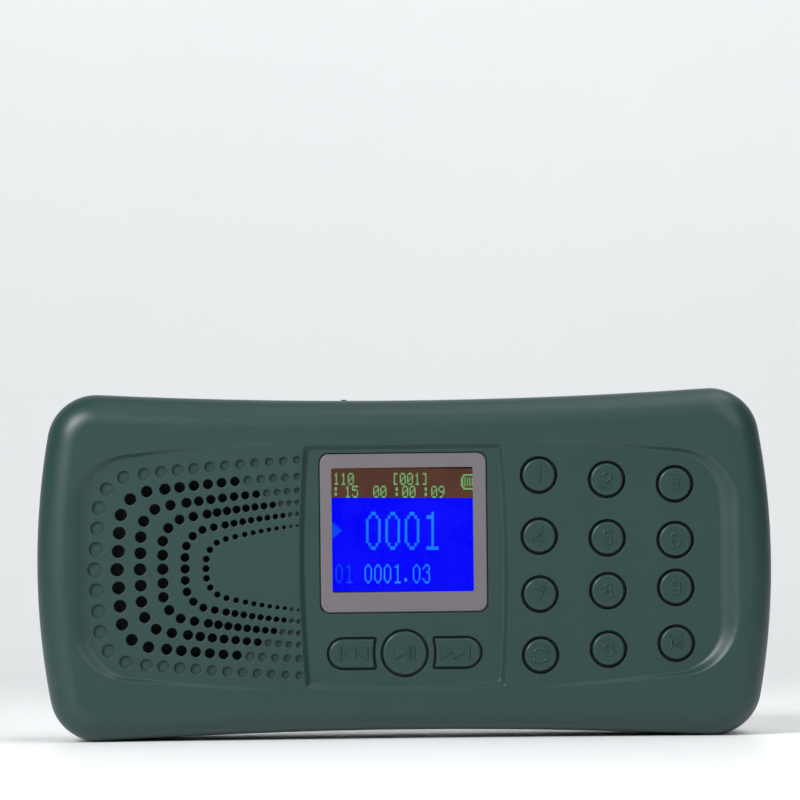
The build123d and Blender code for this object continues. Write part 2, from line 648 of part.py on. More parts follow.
with BuildPart() as speaker_frame:
    add(turned([
        (CONE_EDGE + 3.8, SPEAKER_FRONT), (SPEAKER_RIM, SPEAKER_FRONT), (SPEAKER_RIM, EAR_FRONT),
        (SPEAKER_RIM + 1.2, EAR_FRONT), (SPEAKER_RIM + 1.2, EAR_BACK), (CONE_EDGE + 4.0, EAR_BACK),
        (17.4, BASKET_FLOOR), (POLE_RADIUS + 1.5, BASKET_FLOOR), (POLE_RADIUS + 1.5, BASKET_FLOOR + 1.0),
        (16.6, BASKET_FLOOR + 1.0), (CONE_EDGE + 2.0, EAR_BACK + 0.4), (CONE_EDGE + 3.8, EAR_BACK + 0.4),
    ]))
    with BuildSketch(layer(EAR_BACK)):
        with Locations(*SPEAKER_SCREWS):
            Circle(EAR_RADIUS)
    extrude(amount=EAR_FRONT - EAR_BACK)
    with BuildSketch(layer(EAR_BACK - 1.0)):
        with Locations(*SPEAKER_SCREWS):
            Circle(SMALL_SCREW + 0.15)
    extrude(amount=EAR_FRONT - EAR_BACK + 2.0, mode=Mode.SUBTRACT)
    # terminal strip for the lead
    with BuildSketch(layer(TERMINAL_DEPTH - 2.0)):
        with Locations((TERMINAL_RIGHT, SPEAKER_LEAD_Z)):
            Rectangle(3.4, 6.0, align=(Align.MAX, Align.CENTER))
    extrude(amount=BASKET_FLOOR + 0.8 - TERMINAL_DEPTH + 2.0)
    # four windows through the basket's slope
    with BuildSketch(layer(BASKET_FLOOR + 2.2)):
        with Locations(SPEAKER_CENTRE):
            with PolarLocations(21.5, 4):
                RectangleRounded(12.0, 22.0, 3.0)
    extrude(amount=8.0, mode=Mode.SUBTRACT)
save(speaker_frame.part, "speaker_frame")

save(turned([
    (COIL_RADIUS + 0.2, CONE_BACK), (COIL_RADIUS + 0.9, CONE_BACK), (CONE_EDGE, CONE_FRONT),
    (CONE_EDGE, CONE_FRONT + 0.5), (CONE_EDGE - 0.6, CONE_FRONT + 0.5),
    (COIL_RADIUS + 0.2, CONE_BACK + 0.7),
]), "speaker_cone")
save(turned([
    (COIL_RADIUS - 0.3, BASKET_FLOOR - 2.0), (COIL_RADIUS + 0.15, BASKET_FLOOR - 2.0),
    (COIL_RADIUS + 0.15, CONE_BACK + 1.6), (COIL_RADIUS - 0.3, CONE_BACK + 1.6),
]), "voice_coil")

CAP_RADIUS = 13.6
CAP_FOOT = CONE_BACK + 1.9
with BuildPart() as dust_cap:
    with BuildSketch(SPEAKER_PLANE):
        with Locations((0, CAP_RADIUS - 2.6 - CAP_FOOT)):
            Circle(CAP_RADIUS)
            Circle(CAP_RADIUS - 0.5, mode=Mode.SUBTRACT)
        with Locations((0, -CAP_FOOT)):
            Rectangle(8.0, 4.0, align=(Align.MIN, Align.MAX), mode=Mode.INTERSECT)
    revolve(axis=SPEAKER_AXIS)
save(dust_cap.part, "dust_cap")

with BuildPart() as surround:
    with BuildSketch(SPEAKER_PLANE):
        foot = -(CONE_FRONT + 0.55)
        inner = CONE_EDGE - 1.2
        outer = CONE_EDGE + 3.6
        crest = (inner + outer) / 2
        with BuildLine():
            Polyline((inner, foot), (inner + 1.2, foot))
            ThreePointArc((inner + 1.2, foot), (crest, foot - 1.0), (outer - 0.8, foot))
            Polyline((outer - 0.8, foot), (outer, foot), (outer, foot - 0.4), (outer - 0.6, foot - 0.4))
            ThreePointArc((outer - 0.6, foot - 0.4), (crest, foot - 1.4), (inner + 1.0, foot - 0.4))
            Polyline((inner + 1.0, foot - 0.4), (inner, foot - 0.4), (inner, foot))
        make_face()
    revolve(axis=SPEAKER_AXIS)
save(surround.part, "speaker_surround")

save(turned([
    (COIL_RADIUS + 0.3, 5.6), (16.2, 4.4), (16.2, 4.8), (COIL_RADIUS + 0.3, 6.0),
]), "speaker_spider")
save(turned([
    (COIL_RADIUS + 0.6, BASKET_FLOOR), (MAGNET_RADIUS - 1.0, BASKET_FLOOR),
    (MAGNET_RADIUS - 1.0, BASKET_FLOOR - 1.6), (COIL_RADIUS + 0.6, BASKET_FLOOR - 1.6),
]), "speaker_top_plate")
save(turned([
    (COIL_RADIUS + 1.8, BASKET_FLOOR - 1.6), (MAGNET_RADIUS, BASKET_FLOOR - 1.6),
    (MAGNET_RADIUS, BASKET_FLOOR - 8.0), (COIL_RADIUS + 1.8, BASKET_FLOOR - 8.0),
]), "speaker_magnet")
save(turned([
    (0, BASKET_FLOOR - 0.2), (POLE_RADIUS, BASKET_FLOOR - 0.2), (POLE_RADIUS, BASKET_FLOOR - 8.0),
    (MAGNET_RADIUS - 1.0, BASKET_FLOOR - 8.0), (MAGNET_RADIUS - 1.0, BASKET_FLOOR - 9.6),
    (0, BASKET_FLOOR - 9.6),
]), "speaker_pole_plate")

# ---- display ---------------------------------------------------------------------------

def plate(name, centre, size, corner, back, front):
    """A flat rounded plate between two depths, written under a name."""
    with BuildPart() as flat:
        with BuildSketch(layer(back)):
            with Locations(centre):
                RectangleRounded(*size, corner)
        extrude(amount=front - back)
    save(flat.part, name)


with BuildPart() as display_frame:
    with BuildSketch(layer(FRAME_STEP)):
        with Locations(DISPLAY_CENTRE):
            RectangleRounded(*FRAME_SIZE, FRAME_CORNER)
    extrude(amount=FRAME_FRONT - FRAME_STEP)
    fillet(display_frame.faces().sort_by(Axis.Y)[0].edges(), radius=0.3)
    with BuildSketch(layer(FRAME_BACK)):
        with Locations(DISPLAY_CENTRE):
            RectangleRounded(FRAME_SIZE[0] + 2.0, FRAME_SIZE[1] + 2.0, FRAME_CORNER)
    extrude(amount=FRAME_STEP - FRAME_BACK)
    with BuildSketch(layer(FRAME_BACK - 1.0)):
        with Locations(WINDOW_CENTRE):
            RectangleRounded(*WINDOW_SIZE, 0.5)
    extrude(amount=5.0, mode=Mode.SUBTRACT)
    with BuildSketch(layer(FRAME_BACK - 1.0)):
        with Locations(WINDOW_CENTRE):
            RectangleRounded(WINDOW_SIZE[0] + 2.4, WINDOW_SIZE[1] + 2.4, 1.0)
    extrude(amount=FRAME_STEP - FRAME_BACK + 1.1, mode=Mode.SUBTRACT)
save(display_frame.part, "display_frame")

LENS_FRONT = FRAME_STEP + 0.05
plate("display_lens", WINDOW_CENTRE, (WINDOW_SIZE[0] + 2.2, WINDOW_SIZE[1] + 2.2), 0.9,
      LENS_FRONT - LENS_THICKNESS, LENS_FRONT)
LCD_BACK = 15.4
plate("lcd_panel", WINDOW_CENTRE, (41.0, 36.0), 0.5, LCD_BACK, FRAME_BACK - 0.05)
plate("lcd_backlight", WINDOW_CENTRE, (42.4, 37.6), 0.8, BOARD_FRONT, LCD_BACK)

RIBBON_LEFT = -8.0
with BuildPart() as lcd_ribbon:
    with BuildSketch(end_plane(RIBBON_LEFT)):
        with BuildLine() as ribbon_path:
            FilletPolyline((-16.0, 26.5), (-16.0, 28.6), (-14.4, 29.5), radius=0.8)
        trace(ribbon_path.edges(), line_width=0.25)
    extrude(amount=-2 * RIBBON_LEFT)
save(lcd_ribbon.part, "lcd_ribbon")
plate("ribbon_connector", (0, 31.2), (18.0, 2.9), 0.3, BOARD_FRONT, LCD_BACK - 0.2)

# ---- main board ------------------------------------------------------------------------

BOARD_RIGHT = socket_face(27.0) - 0.4
with BuildPart() as main_board:
    with BuildSketch(layer(BOARD_BACK)):
        with Locations((23.5, 0)):
            Rectangle(95.0, 68.0)
        with Locations((BOARD_RIGHT - 10.0, 0)):
            Rectangle(20.0, 54.0)
        with Locations(*BOARD_SCREWS):
            Circle(SMALL_SCREW + 0.2, mode=Mode.SUBTRACT)
    extrude(amount=BOARD_THICKNESS)
save(main_board.part, "main_board")

AMPLIFIER = (10.0, -24.0)
with BuildPart() as board_chips:
    with BuildSketch(layer(BOARD_BACK - 1.4)):
        with Locations(AMPLIFIER, (26.0, 4.0), (44.0, 6.0)):
            RectangleRounded(9.0, 9.0, 0.4)
    extrude(amount=1.4)
save(board_chips.part, "board_chips")
with BuildPart() as heat_sink:
    with BuildSketch(layer(BOARD_BACK - 3.0)):
        with Locations(AMPLIFIER):
            Rectangle(14.0, 14.0)
    extrude(amount=1.6)
    with BuildSketch(layer(BOARD_BACK - 7.5)):
        with Locations(AMPLIFIER):
            with GridLocations(3.2, 0, 5, 1):
                Rectangle(0.9, 14.0)
    extrude(amount=4.5)
save(heat_sink.part, "heat_sink")
with BuildPart() as capacitors:
    with BuildSketch(layer(BOARD_BACK - 9.0)):
        with Locations((-4.0, -27.0), (24.0, -27.0)):
            Circle(4.0)
    extrude(amount=9.0)
    fillet(capacitors.faces().sort_by(Axis.Y)[-2:].edges(), radius=0.6)
save(capacitors.part, "smoothing_capacitors")

LEAD_X = -17.0
BATTERY_LEAD_Z = 12.0
CONNECTOR_BACK = BOARD_BACK - 5.0
with BuildPart() as lead_connectors:
    with BuildSketch(layer(CONNECTOR_BACK)):
        with Locations((LEAD_X, BATTERY_LEAD_Z), (LEAD_X, SPEAKER_LEAD_Z)):
            RectangleRounded(5.0, 6.0, 0.3)
    extrude(amount=BOARD_BACK - CONNECTOR_BACK)
save(lead_connectors.part, "lead_connectors")


def lead(name, points, radius, bends):
    """A round internal lead along straight runs joined by arcs; points are (x, depth, z)."""
    route = [(x, -depth, CENTRE_HEIGHT + z) for x, depth, z in points]
    with BuildLine() as run:
        FilletPolyline(*route, radius=bends)
    path = run.wires()[0]
    with BuildPart() as tube:
        with BuildSketch(Plane(origin=path @ 0, z_dir=path % 0)):
            Circle(radius)
        sweep(path=path)
    save(tube.part, name)


LEAD_RADIUS = 0.9
lead("battery_lead", [
    (BAY_LEFT - 1.6, -8.0, BATTERY_LEAD_Z),
    (LEAD_X, -8.0, BATTERY_LEAD_Z),
    (LEAD_X, CONNECTOR_BACK, BATTERY_LEAD_Z),
], LEAD_RADIUS, 3.6)
lead("speaker_lead", [
    (TERMINAL_RIGHT, TERMINAL_DEPTH, SPEAKER_LEAD_Z),
    (LEAD_X, TERMINAL_DEPTH, SPEAKER_LEAD_Z),
    (LEAD_X, CONNECTOR_BACK, SPEAKER_LEAD_Z),
], LEAD_RADIUS, 4.0)

# ---- keys and their rubber mats --------------------------------------------------------

FLANGE_FRONT = PANEL_BACK - 0.15
FLANGE_BACK = FLANGE_FRONT - FLANGE_THICKNESS
DOME_TOP = FLANGE_BACK - 0.05
MAT_FRONT = BOARD_FRONT + MAT_THICKNESS


def rubber_mat(name, middle, size, domes):
    """A silicone mat on the board with one hollow dome behind each key."""
    with BuildPart() as mat:
        with BuildSketch(layer(BOARD_FRONT)):
            with Locations(middle):
                RectangleRounded(*size, 1.5)
        extrude(amount=MAT_THICKNESS)
        for centre in domes:
            with BuildSketch(layer(MAT_FRONT)):
                with Locations(centre):
                    Circle(3.4)
            with BuildSketch(layer(DOME_TOP)):
                with Locations(centre):
                    Circle(2.2)
            loft()
        with BuildSketch(layer(BOARD_FRONT)):
            with Locations(*domes):
                Circle(2.0)
        extrude(amount=MAT_THICKNESS + 0.6, mode=Mode.SUBTRACT)
    save(mat.part, name)


def key(name, front, cap_outline, flange_outline):
    """A hard key cap with the flange that keeps it behind the panel."""
    with BuildPart() as piece:
        with BuildSketch(layer(FLANGE_FRONT)):
            add(cap_outline)
        extrude(amount=front + KEY_PROUD - FLANGE_FRONT)
        chamfer(piece.faces().sort_by(Axis.Y)[0].edges(), length=KEY_BEVEL)
        with BuildSketch(layer(FLANGE_BACK)):
            add(flange_outline)
        extrude(amount=FLANGE_THICKNESS)
    save(piece.part, name)


def disc(centre, radius):
    """A round sketch at a place."""
    with BuildSketch() as outline:
        with Locations(centre):
            Circle(radius)
    return outline.sketch


for name, x, z in pad_keys():
    key(f"key_{name}", PANEL_DEPTH, disc((x, z), KEY_CAP), disc((x, z), KEY_FLANGE))
key("key_play", BAY_FLOOR, disc(PLAY_CENTRE, PLAY_CAP), disc(PLAY_CENTRE, PLAY_CAP + 0.9))
for name, side in (("key_previous", -1), ("key_next", 1)):
    cap = skip_key_outline(side, SKIP_ROUND - SKIP_GAP, SKIP_HOLLOW + SKIP_GAP)
    flange = skip_key_outline(side, SKIP_ROUND + SKIP_FLANGE, SKIP_HOLLOW - 0.35)
    key(name, BAY_FLOOR, cap, flange)

rubber_mat("pad_mat", (49.1, PAD_MIDDLE), (45.0, 54.8), [(x, z) for name, x, z in pad_keys()])
skip_x = SKIP_ROUND_X - 1.6
rubber_mat("transport_mat", PLAY_CENTRE, (40.0, 12.0), [
    PLAY_CENTRE,
    (PLAY_CENTRE[0] - skip_x, PLAY_CENTRE[1]),
    (PLAY_CENTRE[0] + skip_x, PLAY_CENTRE[1]),
])

# ---- volume knob -----------------------------------------------------------------------

KNOB_PLANE = Plane(origin=(0, -KNOB_DEPTH, CENTRE_HEIGHT + KNOB_Z), x_dir=(1, 0, 0), z_dir=(0, -1, 0))
KNOB_AXIS = Axis(origin=KNOB_PLANE.origin, direction=(1, 0, 0))
DOME_MIDDLE = KNOB_RADIUS - KNOB_REACH
KNOB_BACK = DOME_MIDDLE + 2.2
with BuildPart() as volume_knob:
    with BuildSketch(KNOB_PLANE):
        with Locations((DOME_MIDDLE, 0)):
            Circle(KNOB_RADIUS)
        with Locations((DOME_MIDDLE, 0)):
            Rectangle(KNOB_BACK - DOME_MIDDLE, 2 * KNOB_RADIUS, align=(Align.MIN, Align.CENTER))
        with Locations((KNOB_BACK, 0)):
            Rectangle(20.0, 20.0, align=(Align.MIN, Align.CENTER), mode=Mode.SUBTRACT)
        with Locations((DOME_MIDDLE, 0)):
            Rectangle(20.0, 20.0, align=(Align.CENTER, Align.MAX), mode=Mode.SUBTRACT)
    revolve(axis=KNOB_AXIS)
    with BuildSketch(end_plane(KNOB_BACK - 3.4)):
        with Locations((-KNOB_DEPTH, KNOB_Z)):
            Circle(SHAFT_RADIUS + 0.03)
    extrude(amount=6.0, mode=Mode.SUBTRACT)
save(volume_knob.part, "volume_knob")

with BuildPart() as volume_shaft:
    with BuildSketch(end_plane(KNOB_BACK - 3.3)):
        with Locations((-KNOB_DEPTH, KNOB_Z)):
            Circle(SHAFT_RADIUS)
    extrude(amount=POT_FACE + POT_LENGTH - KNOB_BACK + 2.3)
save(volume_shaft.part, "volume_shaft")

with BuildPart() as volume_control:
    with BuildSketch(end_plane(POT_FACE)):
        with Locations((-KNOB_DEPTH, KNOB_Z)):
            RectangleRounded(9.5, 11.0, 0.6)
    extrude(amount=POT_LENGTH)
    with BuildSketch(end_plane(POT_FACE - 1.0)):
        with Locations((-KNOB_DEPTH, KNOB_Z)):
            Circle(SHAFT_RADIUS + 0.05)
    extrude(amount=POT_LENGTH, mode=Mode.SUBTRACT)
save(volume_control.part, "volume_control")

# ---- power switch ----------------------------------------------------------------------

SWITCH_TOP = WAIST - WALL - 0.3
with BuildPart() as switch_body:
    with BuildSketch(top_plane(SWITCH_TOP - 3.8)):
        with Locations((SLOT_MIDDLE, -SWITCH_DEPTH)):
            Rectangle(10.4, 4.4)
    extrude(amount=3.8)
    with BuildSketch(top_plane(SWITCH_TOP - 1.6)):
        with Locations((SLOT_MIDDLE, -SWITCH_DEPTH)):
            Rectangle(SWITCH_TRAVEL + 2.6, 2.2)
    extrude(amount=2.0, mode=Mode.SUBTRACT)
save(switch_body.part, "power_switch_body")

with BuildPart() as switch_knob:
    with BuildSketch(top_plane(SWITCH_TOP - 1.2)):
        with Locations((SWITCH_X, -SWITCH_DEPTH)):
            Rectangle(1.8, 1.6)
    extrude(amount=1.6)
    with BuildSketch(top_plane(SWITCH_TOP + 0.3)):
        with Locations((SWITCH_X, -SWITCH_DEPTH)):
            RectangleRounded(4.0, 3.4, 0.3)
    extrude(amount=WAIST - SWITCH_TOP - 0.3)
    with BuildSketch(top_plane(WAIST - 0.1)):
        with Locations((SWITCH_X, -SWITCH_DEPTH)):
            Rectangle(1.3, 3.0)
    extrude(amount=1.25)
    fillet(switch_knob.faces().sort_by(Axis.Z)[-1].edges(), radius=0.3)
save(switch_knob.part, "power_switch_knob")

# ---- sockets on the board's right edge -------------------------------------------------

USB_FACE = socket_face(abs(USB_Z) + USB_SHELL[0] / 2)
POWER_FACE = socket_face(POWER_Z + 4.5)
AUDIO_FACE = socket_face(AUDIO_Z + 3.2)
CARD_FACE = socket_face(abs(CARD_Z) + CARD_SHELL[0] / 2)

usb_middle = USB_HEIGHT / 2 - BOARD_BACK
with BuildPart() as usb_shell:
    with BuildSketch(end_plane(USB_FACE - SOCKET_LENGTH)):
        with Locations((usb_middle, USB_Z)):
            Rectangle(USB_SHELL[1], USB_SHELL[0])
            Rectangle(USB_OPENING[1], USB_OPENING[0], mode=Mode.SUBTRACT)
    extrude(amount=SOCKET_LENGTH)
save(usb_shell.part, "usb_shell")
with BuildPart() as usb_insert:
    with BuildSketch(end_plane(USB_FACE - SOCKET_LENGTH)):
        with Locations((usb_middle, USB_Z)):
            Rectangle(USB_OPENING[1] - 0.06, USB_OPENING[0] - 0.06)
    extrude(amount=4.0)
    with BuildSketch(end_plane(USB_FACE - SOCKET_LENGTH + 4.0)):
        with Locations((usb_middle - 0.7, USB_Z)):
            Rectangle(1.9, 11.2)
    extrude(amount=9.0)
save(usb_insert.part, "usb_insert")

with BuildPart() as card_socket:
    with BuildSketch(end_plane(CARD_FACE - SOCKET_LENGTH)):
        with Locations((CARD_SHELL[1] / 2 - BOARD_BACK, CARD_Z)):
            Rectangle(CARD_SHELL[1], CARD_SHELL[0])
    extrude(amount=SOCKET_LENGTH)
    with BuildSketch(end_plane(CARD_FACE - SOCKET_LENGTH + 1.5)):
        with Locations((CARD_SHELL[1] / 2 - BOARD_BACK, CARD_Z)):
            Rectangle(CARD_OPENING[1], CARD_OPENING[0])
    extrude(amount=SOCKET_LENGTH, mode=Mode.SUBTRACT)
save(card_socket.part, "card_socket")


def round_socket(name, face, middle, z, height, width, collar, bore, length):
    """A block on the board with a round collar and a blind bore from its mouth."""
    with BuildPart() as socket:
        with BuildSketch(end_plane(face - SOCKET_LENGTH)):
            with Locations((middle, z)):
                Rectangle(height, width)
        extrude(amount=SOCKET_LENGTH)
        with BuildSketch(end_plane(face)):
            with Locations((middle, z)):
                Circle(collar)
        extrude(amount=1.8)
        with BuildSketch(end_plane(face + 1.8)):
            with Locations((middle, z)):
                Circle(bore)
        extrude(amount=-length, mode=Mode.SUBTRACT)
    save(socket.part, name)


round_socket("audio_jack", AUDIO_FACE, AUDIO_MIDDLE, AUDIO_Z, AUDIO_HEIGHT, 6.4, 2.9, AUDIO_BORE,
             AUDIO_BORE_LENGTH)
round_socket("power_jack", POWER_FACE, POWER_MIDDLE, POWER_Z, POWER_HEIGHT, 9.0, 3.4, POWER_BORE, 9.5)
with BuildPart() as power_jack_pin:
    with BuildSketch(end_plane(POWER_FACE + 1.8 - 9.5)):
        with Locations((POWER_MIDDLE, POWER_Z)):
            Circle(POWER_PIN)
    extrude(amount=8.0)
    fillet(power_jack_pin.faces().sort_by(Axis.X)[-1].edges(), radius=0.4)
save(power_jack_pin.part, "power_jack_pin")
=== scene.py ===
import json
import math

import bpy
import numpy as np
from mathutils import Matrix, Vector
from mathutils.geometry import delaunay_2d_cdt


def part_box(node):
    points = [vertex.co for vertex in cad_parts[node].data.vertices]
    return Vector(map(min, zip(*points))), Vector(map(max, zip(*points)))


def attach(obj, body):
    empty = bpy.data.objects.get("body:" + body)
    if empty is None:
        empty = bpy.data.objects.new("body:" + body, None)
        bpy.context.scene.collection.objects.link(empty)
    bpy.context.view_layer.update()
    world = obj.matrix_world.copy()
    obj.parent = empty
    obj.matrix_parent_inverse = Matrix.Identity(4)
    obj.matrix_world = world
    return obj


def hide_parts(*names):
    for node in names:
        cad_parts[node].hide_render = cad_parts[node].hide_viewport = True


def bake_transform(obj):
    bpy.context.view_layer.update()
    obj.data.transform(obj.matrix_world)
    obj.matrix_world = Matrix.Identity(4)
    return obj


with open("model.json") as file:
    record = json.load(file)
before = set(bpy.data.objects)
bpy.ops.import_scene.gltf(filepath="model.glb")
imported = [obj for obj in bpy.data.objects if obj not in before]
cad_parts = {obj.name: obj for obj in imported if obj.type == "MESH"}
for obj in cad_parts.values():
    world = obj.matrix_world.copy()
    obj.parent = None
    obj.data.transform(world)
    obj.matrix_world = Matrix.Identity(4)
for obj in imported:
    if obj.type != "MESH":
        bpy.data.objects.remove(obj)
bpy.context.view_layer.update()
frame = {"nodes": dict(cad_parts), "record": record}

# Lengths are in millimetres until a mesh is made. A point is (x, depth, z): depth is the
# distance in front of the case's middle plane, z the height above its centre line.
NODES = frame["nodes"]
MM = 0.001


def cad_box(node):
    """A CAD node's box as (lowest, highest) of x, depth, z."""
    low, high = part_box(node)
    return (
        (low.x / MM, -high.y / MM, low.z / MM - CENTRE),
        (high.x / MM, -low.y / MM, high.z / MM - CENTRE),
    )


shell_low, shell_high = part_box("front_shell")
CENTRE = (shell_low.z + shell_high.z) / 2 / MM

# ---- sizes that part.py gives the case ----

HALF_WIDTH, WAIST = 89.0, 40.0
SHARP_CORNER = (83.9, 42.7)
CORNER_RADIUS = 12.0
FRONT_ROLL = 7.5
PANEL, PANEL_BACK = 20.8, 18.3
FLUSH_X, FRONT_CURVE = 24.0, 1456.0
RECESS_END, RECESS_HEIGHT, RECESS_CURVE, RECESS_CORNER = 76.0, 30.6, 612.0, 12.0
RECESS_END_SLOPE, RECESS_SIDE_SLOPE = 5.0, 1.3
BAY_FLOOR, BAY_SLOPE = 19.6, 1.2
KEY_HOLE, KEY_CAP, KEY_FLANGE = 4.55, 3.9, 5.2
PLAY_HOLE, PLAY_CAP = 5.85, 5.3
SKIP_ROUND, SKIP_ROUND_X, SKIP_GAP = 4.0, 14.85, 0.5
SKIP_HOLLOW, SKIP_HOLLOW_X = 13.7, 6.6
KEY_PROUD, KEY_BEVEL, MAT_THICKNESS = 0.4, 0.6, 1.0
FRAME_GAP, FRAME_CORNER = 0.25, 2.3
PAD_MIDDLE = -0.4
GRILLE_END, GRILLE_BOW, CORNER_STEPS = -25.6, 0.45, 6
OPEN_CENTRE, OPEN_RADIUS = (-49.3, -0.4), 24.0
SPEAKER = (-50.9, -0.4)
# left end, lean, corner height, end height, corner radius, pitch, holes, widths left and right
GRILLE_ROWS = (
    (-74.7, 1.6, 21.8, 26.0, 8.5, 5.0, 16, 3.6, 1.9),
    (-69.3, 1.2, 18.0, 22.0, 7.2, 4.42, 16, 3.2, 1.8),
    (-63.8, 0.5, 14.35, 18.65, 6.3, 3.91, 16, 2.95, 1.5),
    (-58.3, 0.0, 11.3, 15.8, 6.3, 3.39, 16, 2.7, 1.3),
    (-52.9, 0.0, 8.5, 13.0, 6.0, 2.78, 15, 2.2, 1.1),
    (-47.85, 0.0, 5.9, 10.2, 5.5, 2.34, 13, 1.65, 0.8),
)
PAD_KEYS = ("1", "2", "3", "4", "5", "6", "7", "8", "9", "loop", "0", "menu")


def middle_of(node):
    """X and z of the middle of a CAD node."""
    low, high = cad_box(node)
    return (low[0] + high[0]) / 2, (low[2] + high[2]) / 2


# ---- mesh building ----


class Shape:
    """Faces with a normal at every corner; matching points are welded when it is made."""

    def __init__(self):
        self.points = []
        self.normals = []
        self.faces = []

    def add(self, points, normals, faces):
        start = len(self.points)
        self.points.extend(points)
        self.normals.extend(normals)
        self.faces.extend([tuple(start + i for i in face) for face in faces])

    def strips(self, rings, normals, closed=True):
        """Quads between matching anticlockwise rings. An outer wall's rings run forwards, a
        hole's backwards."""
        count = len(rings[0])
        points = [p for ring in rings for p in ring]
        corner = [n for ring in normals for n in ring]
        faces = []
        for row in range(len(rings) - 1):
            for i in range(count if closed else count - 1):
                j = (i + 1) % count
                a, b = row * count, (row + 1) * count
                faces.append((a + i, a + j, b + j, b + i))
        self.add(points, corner, faces)

    def face(self, points, normals):
        """One face with a normal at each corner."""
        self.add(points, normals, [tuple(range(len(points)))])

    def cap(self, ring, normal):
        """One flat face with the ring's points in order."""
        self.face(list(ring), [normal] * len(ring))

    def make(self, name):
        """The mesh object, in metres and in the row frame."""
        points = np.array(self.points, float)
        keys = np.round(points * 2000).astype(np.int64)
        _, first, back = np.unique(keys, axis=0, return_index=True, return_inverse=True)
        back = back.reshape(-1)
        places = points[first]
        corner = np.array(self.normals, float)
        corner /= np.maximum(np.linalg.norm(corner, axis=1, keepdims=True), 1e-9)
        faces, corner_normals = [], []
        for face in self.faces:
            ids, kept = [], []
            for i in face:
                if not ids or (back[i] != ids[-1] and back[i] != ids[0]):
                    ids.append(int(back[i]))
                    kept.append(i)
            if len(ids) > 2:
                faces.append(ids)
                corner_normals.extend(corner[kept])
        world = np.column_stack([places[:, 0], -places[:, 1], places[:, 2] + CENTRE]) * MM
        mesh = bpy.data.meshes.new(name)
        mesh.from_pydata(world.tolist(), [], faces)
        corner_normals = np.array(corner_normals)
        corner_normals[:, 1] *= -1
        mesh.polygons.foreach_set("use_smooth", [True] * len(mesh.polygons))
        mesh.normals_split_custom_set(corner_normals.tolist())
        mesh.validate()
        made = bpy.data.objects.new(name, mesh)
        bpy.context.scene.collection.objects.link(made)
        return made


def arc(centre, radius, start, end, count):
    """Points on an arc, angles in radians, both ends included."""
    angles = np.linspace(start, end, count)
    return np.column_stack(
        [centre[0] + radius * np.cos(angles), centre[1] + radius * np.sin(angles)]
    )


def straight(start, end, count):
    return np.linspace(start, end, count)


def joined(*runs):
    """Runs of points end to end, the shared points kept once."""
    out = [np.asarray(runs[0])]
    out.extend(np.asarray(run)[1:] for run in runs[1:])
    return np.vstack(out)


def mirrored(quarter):
    """Closed ring, anticlockwise, from its quarter between the X and the z axis."""
    left = quarter[::-1] * (-1, 1)
    top = np.vstack([quarter, left[1:]])
    bottom = top[::-1] * (1, -1)
    return np.vstack([top, bottom[1:-1]])


def outward(ring):
    """Unit normals of a closed anticlockwise ring, seen in the x z plane."""
    along = np.roll(ring, -1, axis=0) - np.roll(ring, 1, axis=0)
    normal = np.column_stack([along[:, 1], -along[:, 0]])
    return normal / np.linalg.norm(normal, axis=1, keepdims=True)


def circle(centre, radius, count):
    angles = np.arange(count) * 2 * math.pi / count
    return np.column_stack(
        [centre[0] + radius * np.cos(angles), centre[1] + radius * np.sin(angles)]
    )


def at_depth(ring, depth):
    """Ring points in the plane put at a depth, which may differ from point to point."""
    depth = np.broadcast_to(depth, len(ring))
    return np.column_stack([ring[:, 0], depth, ring[:, 1]])


def facing(ring_normals, out, front):
    """Normals that lean out by one amount and forwards by another."""
    return np.column_stack(
        [ring_normals[:, 0] * out, np.full(len(ring_normals), front), ring_normals[:, 1] * out]
    )


# ---- outlines ----


def case_ring(inset):
    """The case's outline, moved inwards, with the same number of points every time."""
    x, z = SHARP_CORNER
    bow = HALF_WIDTH - x
    sag = z - WAIST
    end_radius = (z**2 + bow**2) / (2 * bow)
    side_radius = (x**2 + sag**2) / (2 * sag)
    end_x = HALF_WIDTH - end_radius
    side_z = WAIST + side_radius
    # the corner's centre is where two circles meet
    reach_end = end_radius - CORNER_RADIUS
    reach_side = side_radius + CORNER_RADIUS
    between = math.hypot(end_x, side_z)
    along = (reach_end**2 - reach_side**2 + between**2) / (2 * between)
    across = math.sqrt(reach_end**2 - along**2)
    ux, uz = -end_x / between, side_z / between
    corner = (end_x + along * ux + across * uz, along * uz - across * ux)
    first = math.atan2(corner[1], corner[0] - end_x)
    second = math.atan2(side_z - corner[1], -corner[0])
    third = math.atan2(corner[1] - side_z, corner[0])
    return mirrored(joined(
        arc((end_x, 0), end_radius - inset, 0, first, 31),
        arc(corner, CORNER_RADIUS - inset, first, second, 33),
        arc((0, side_z), side_radius + inset, third, -math.pi / 2, 75),
    ))


def recess_ring(grow_end, grow_side):
    """The panel recess's outline, its ends and long sides moved out by two amounts."""
    x = RECESS_END + grow_end
    middle = RECESS_HEIGHT + grow_side
    sag = x**2 / (2 * RECESS_CURVE)
    radius = (x**2 + sag**2) / (2 * sag)
    round_off = RECESS_CORNER + grow_end / 2
    centre_z = middle - radius
    corner_x = x - round_off
    corner_z = centre_z + math.sqrt((radius - round_off) ** 2 - corner_x**2)
    turn = math.atan2(corner_z - centre_z, corner_x)
    return mirrored(joined(
        straight((x, 0), (x, corner_z), 19),
        arc((corner_x, corner_z), round_off, 0, turn, 27),
        arc((0, centre_z), radius, turn, math.pi / 2, 66),
    ))


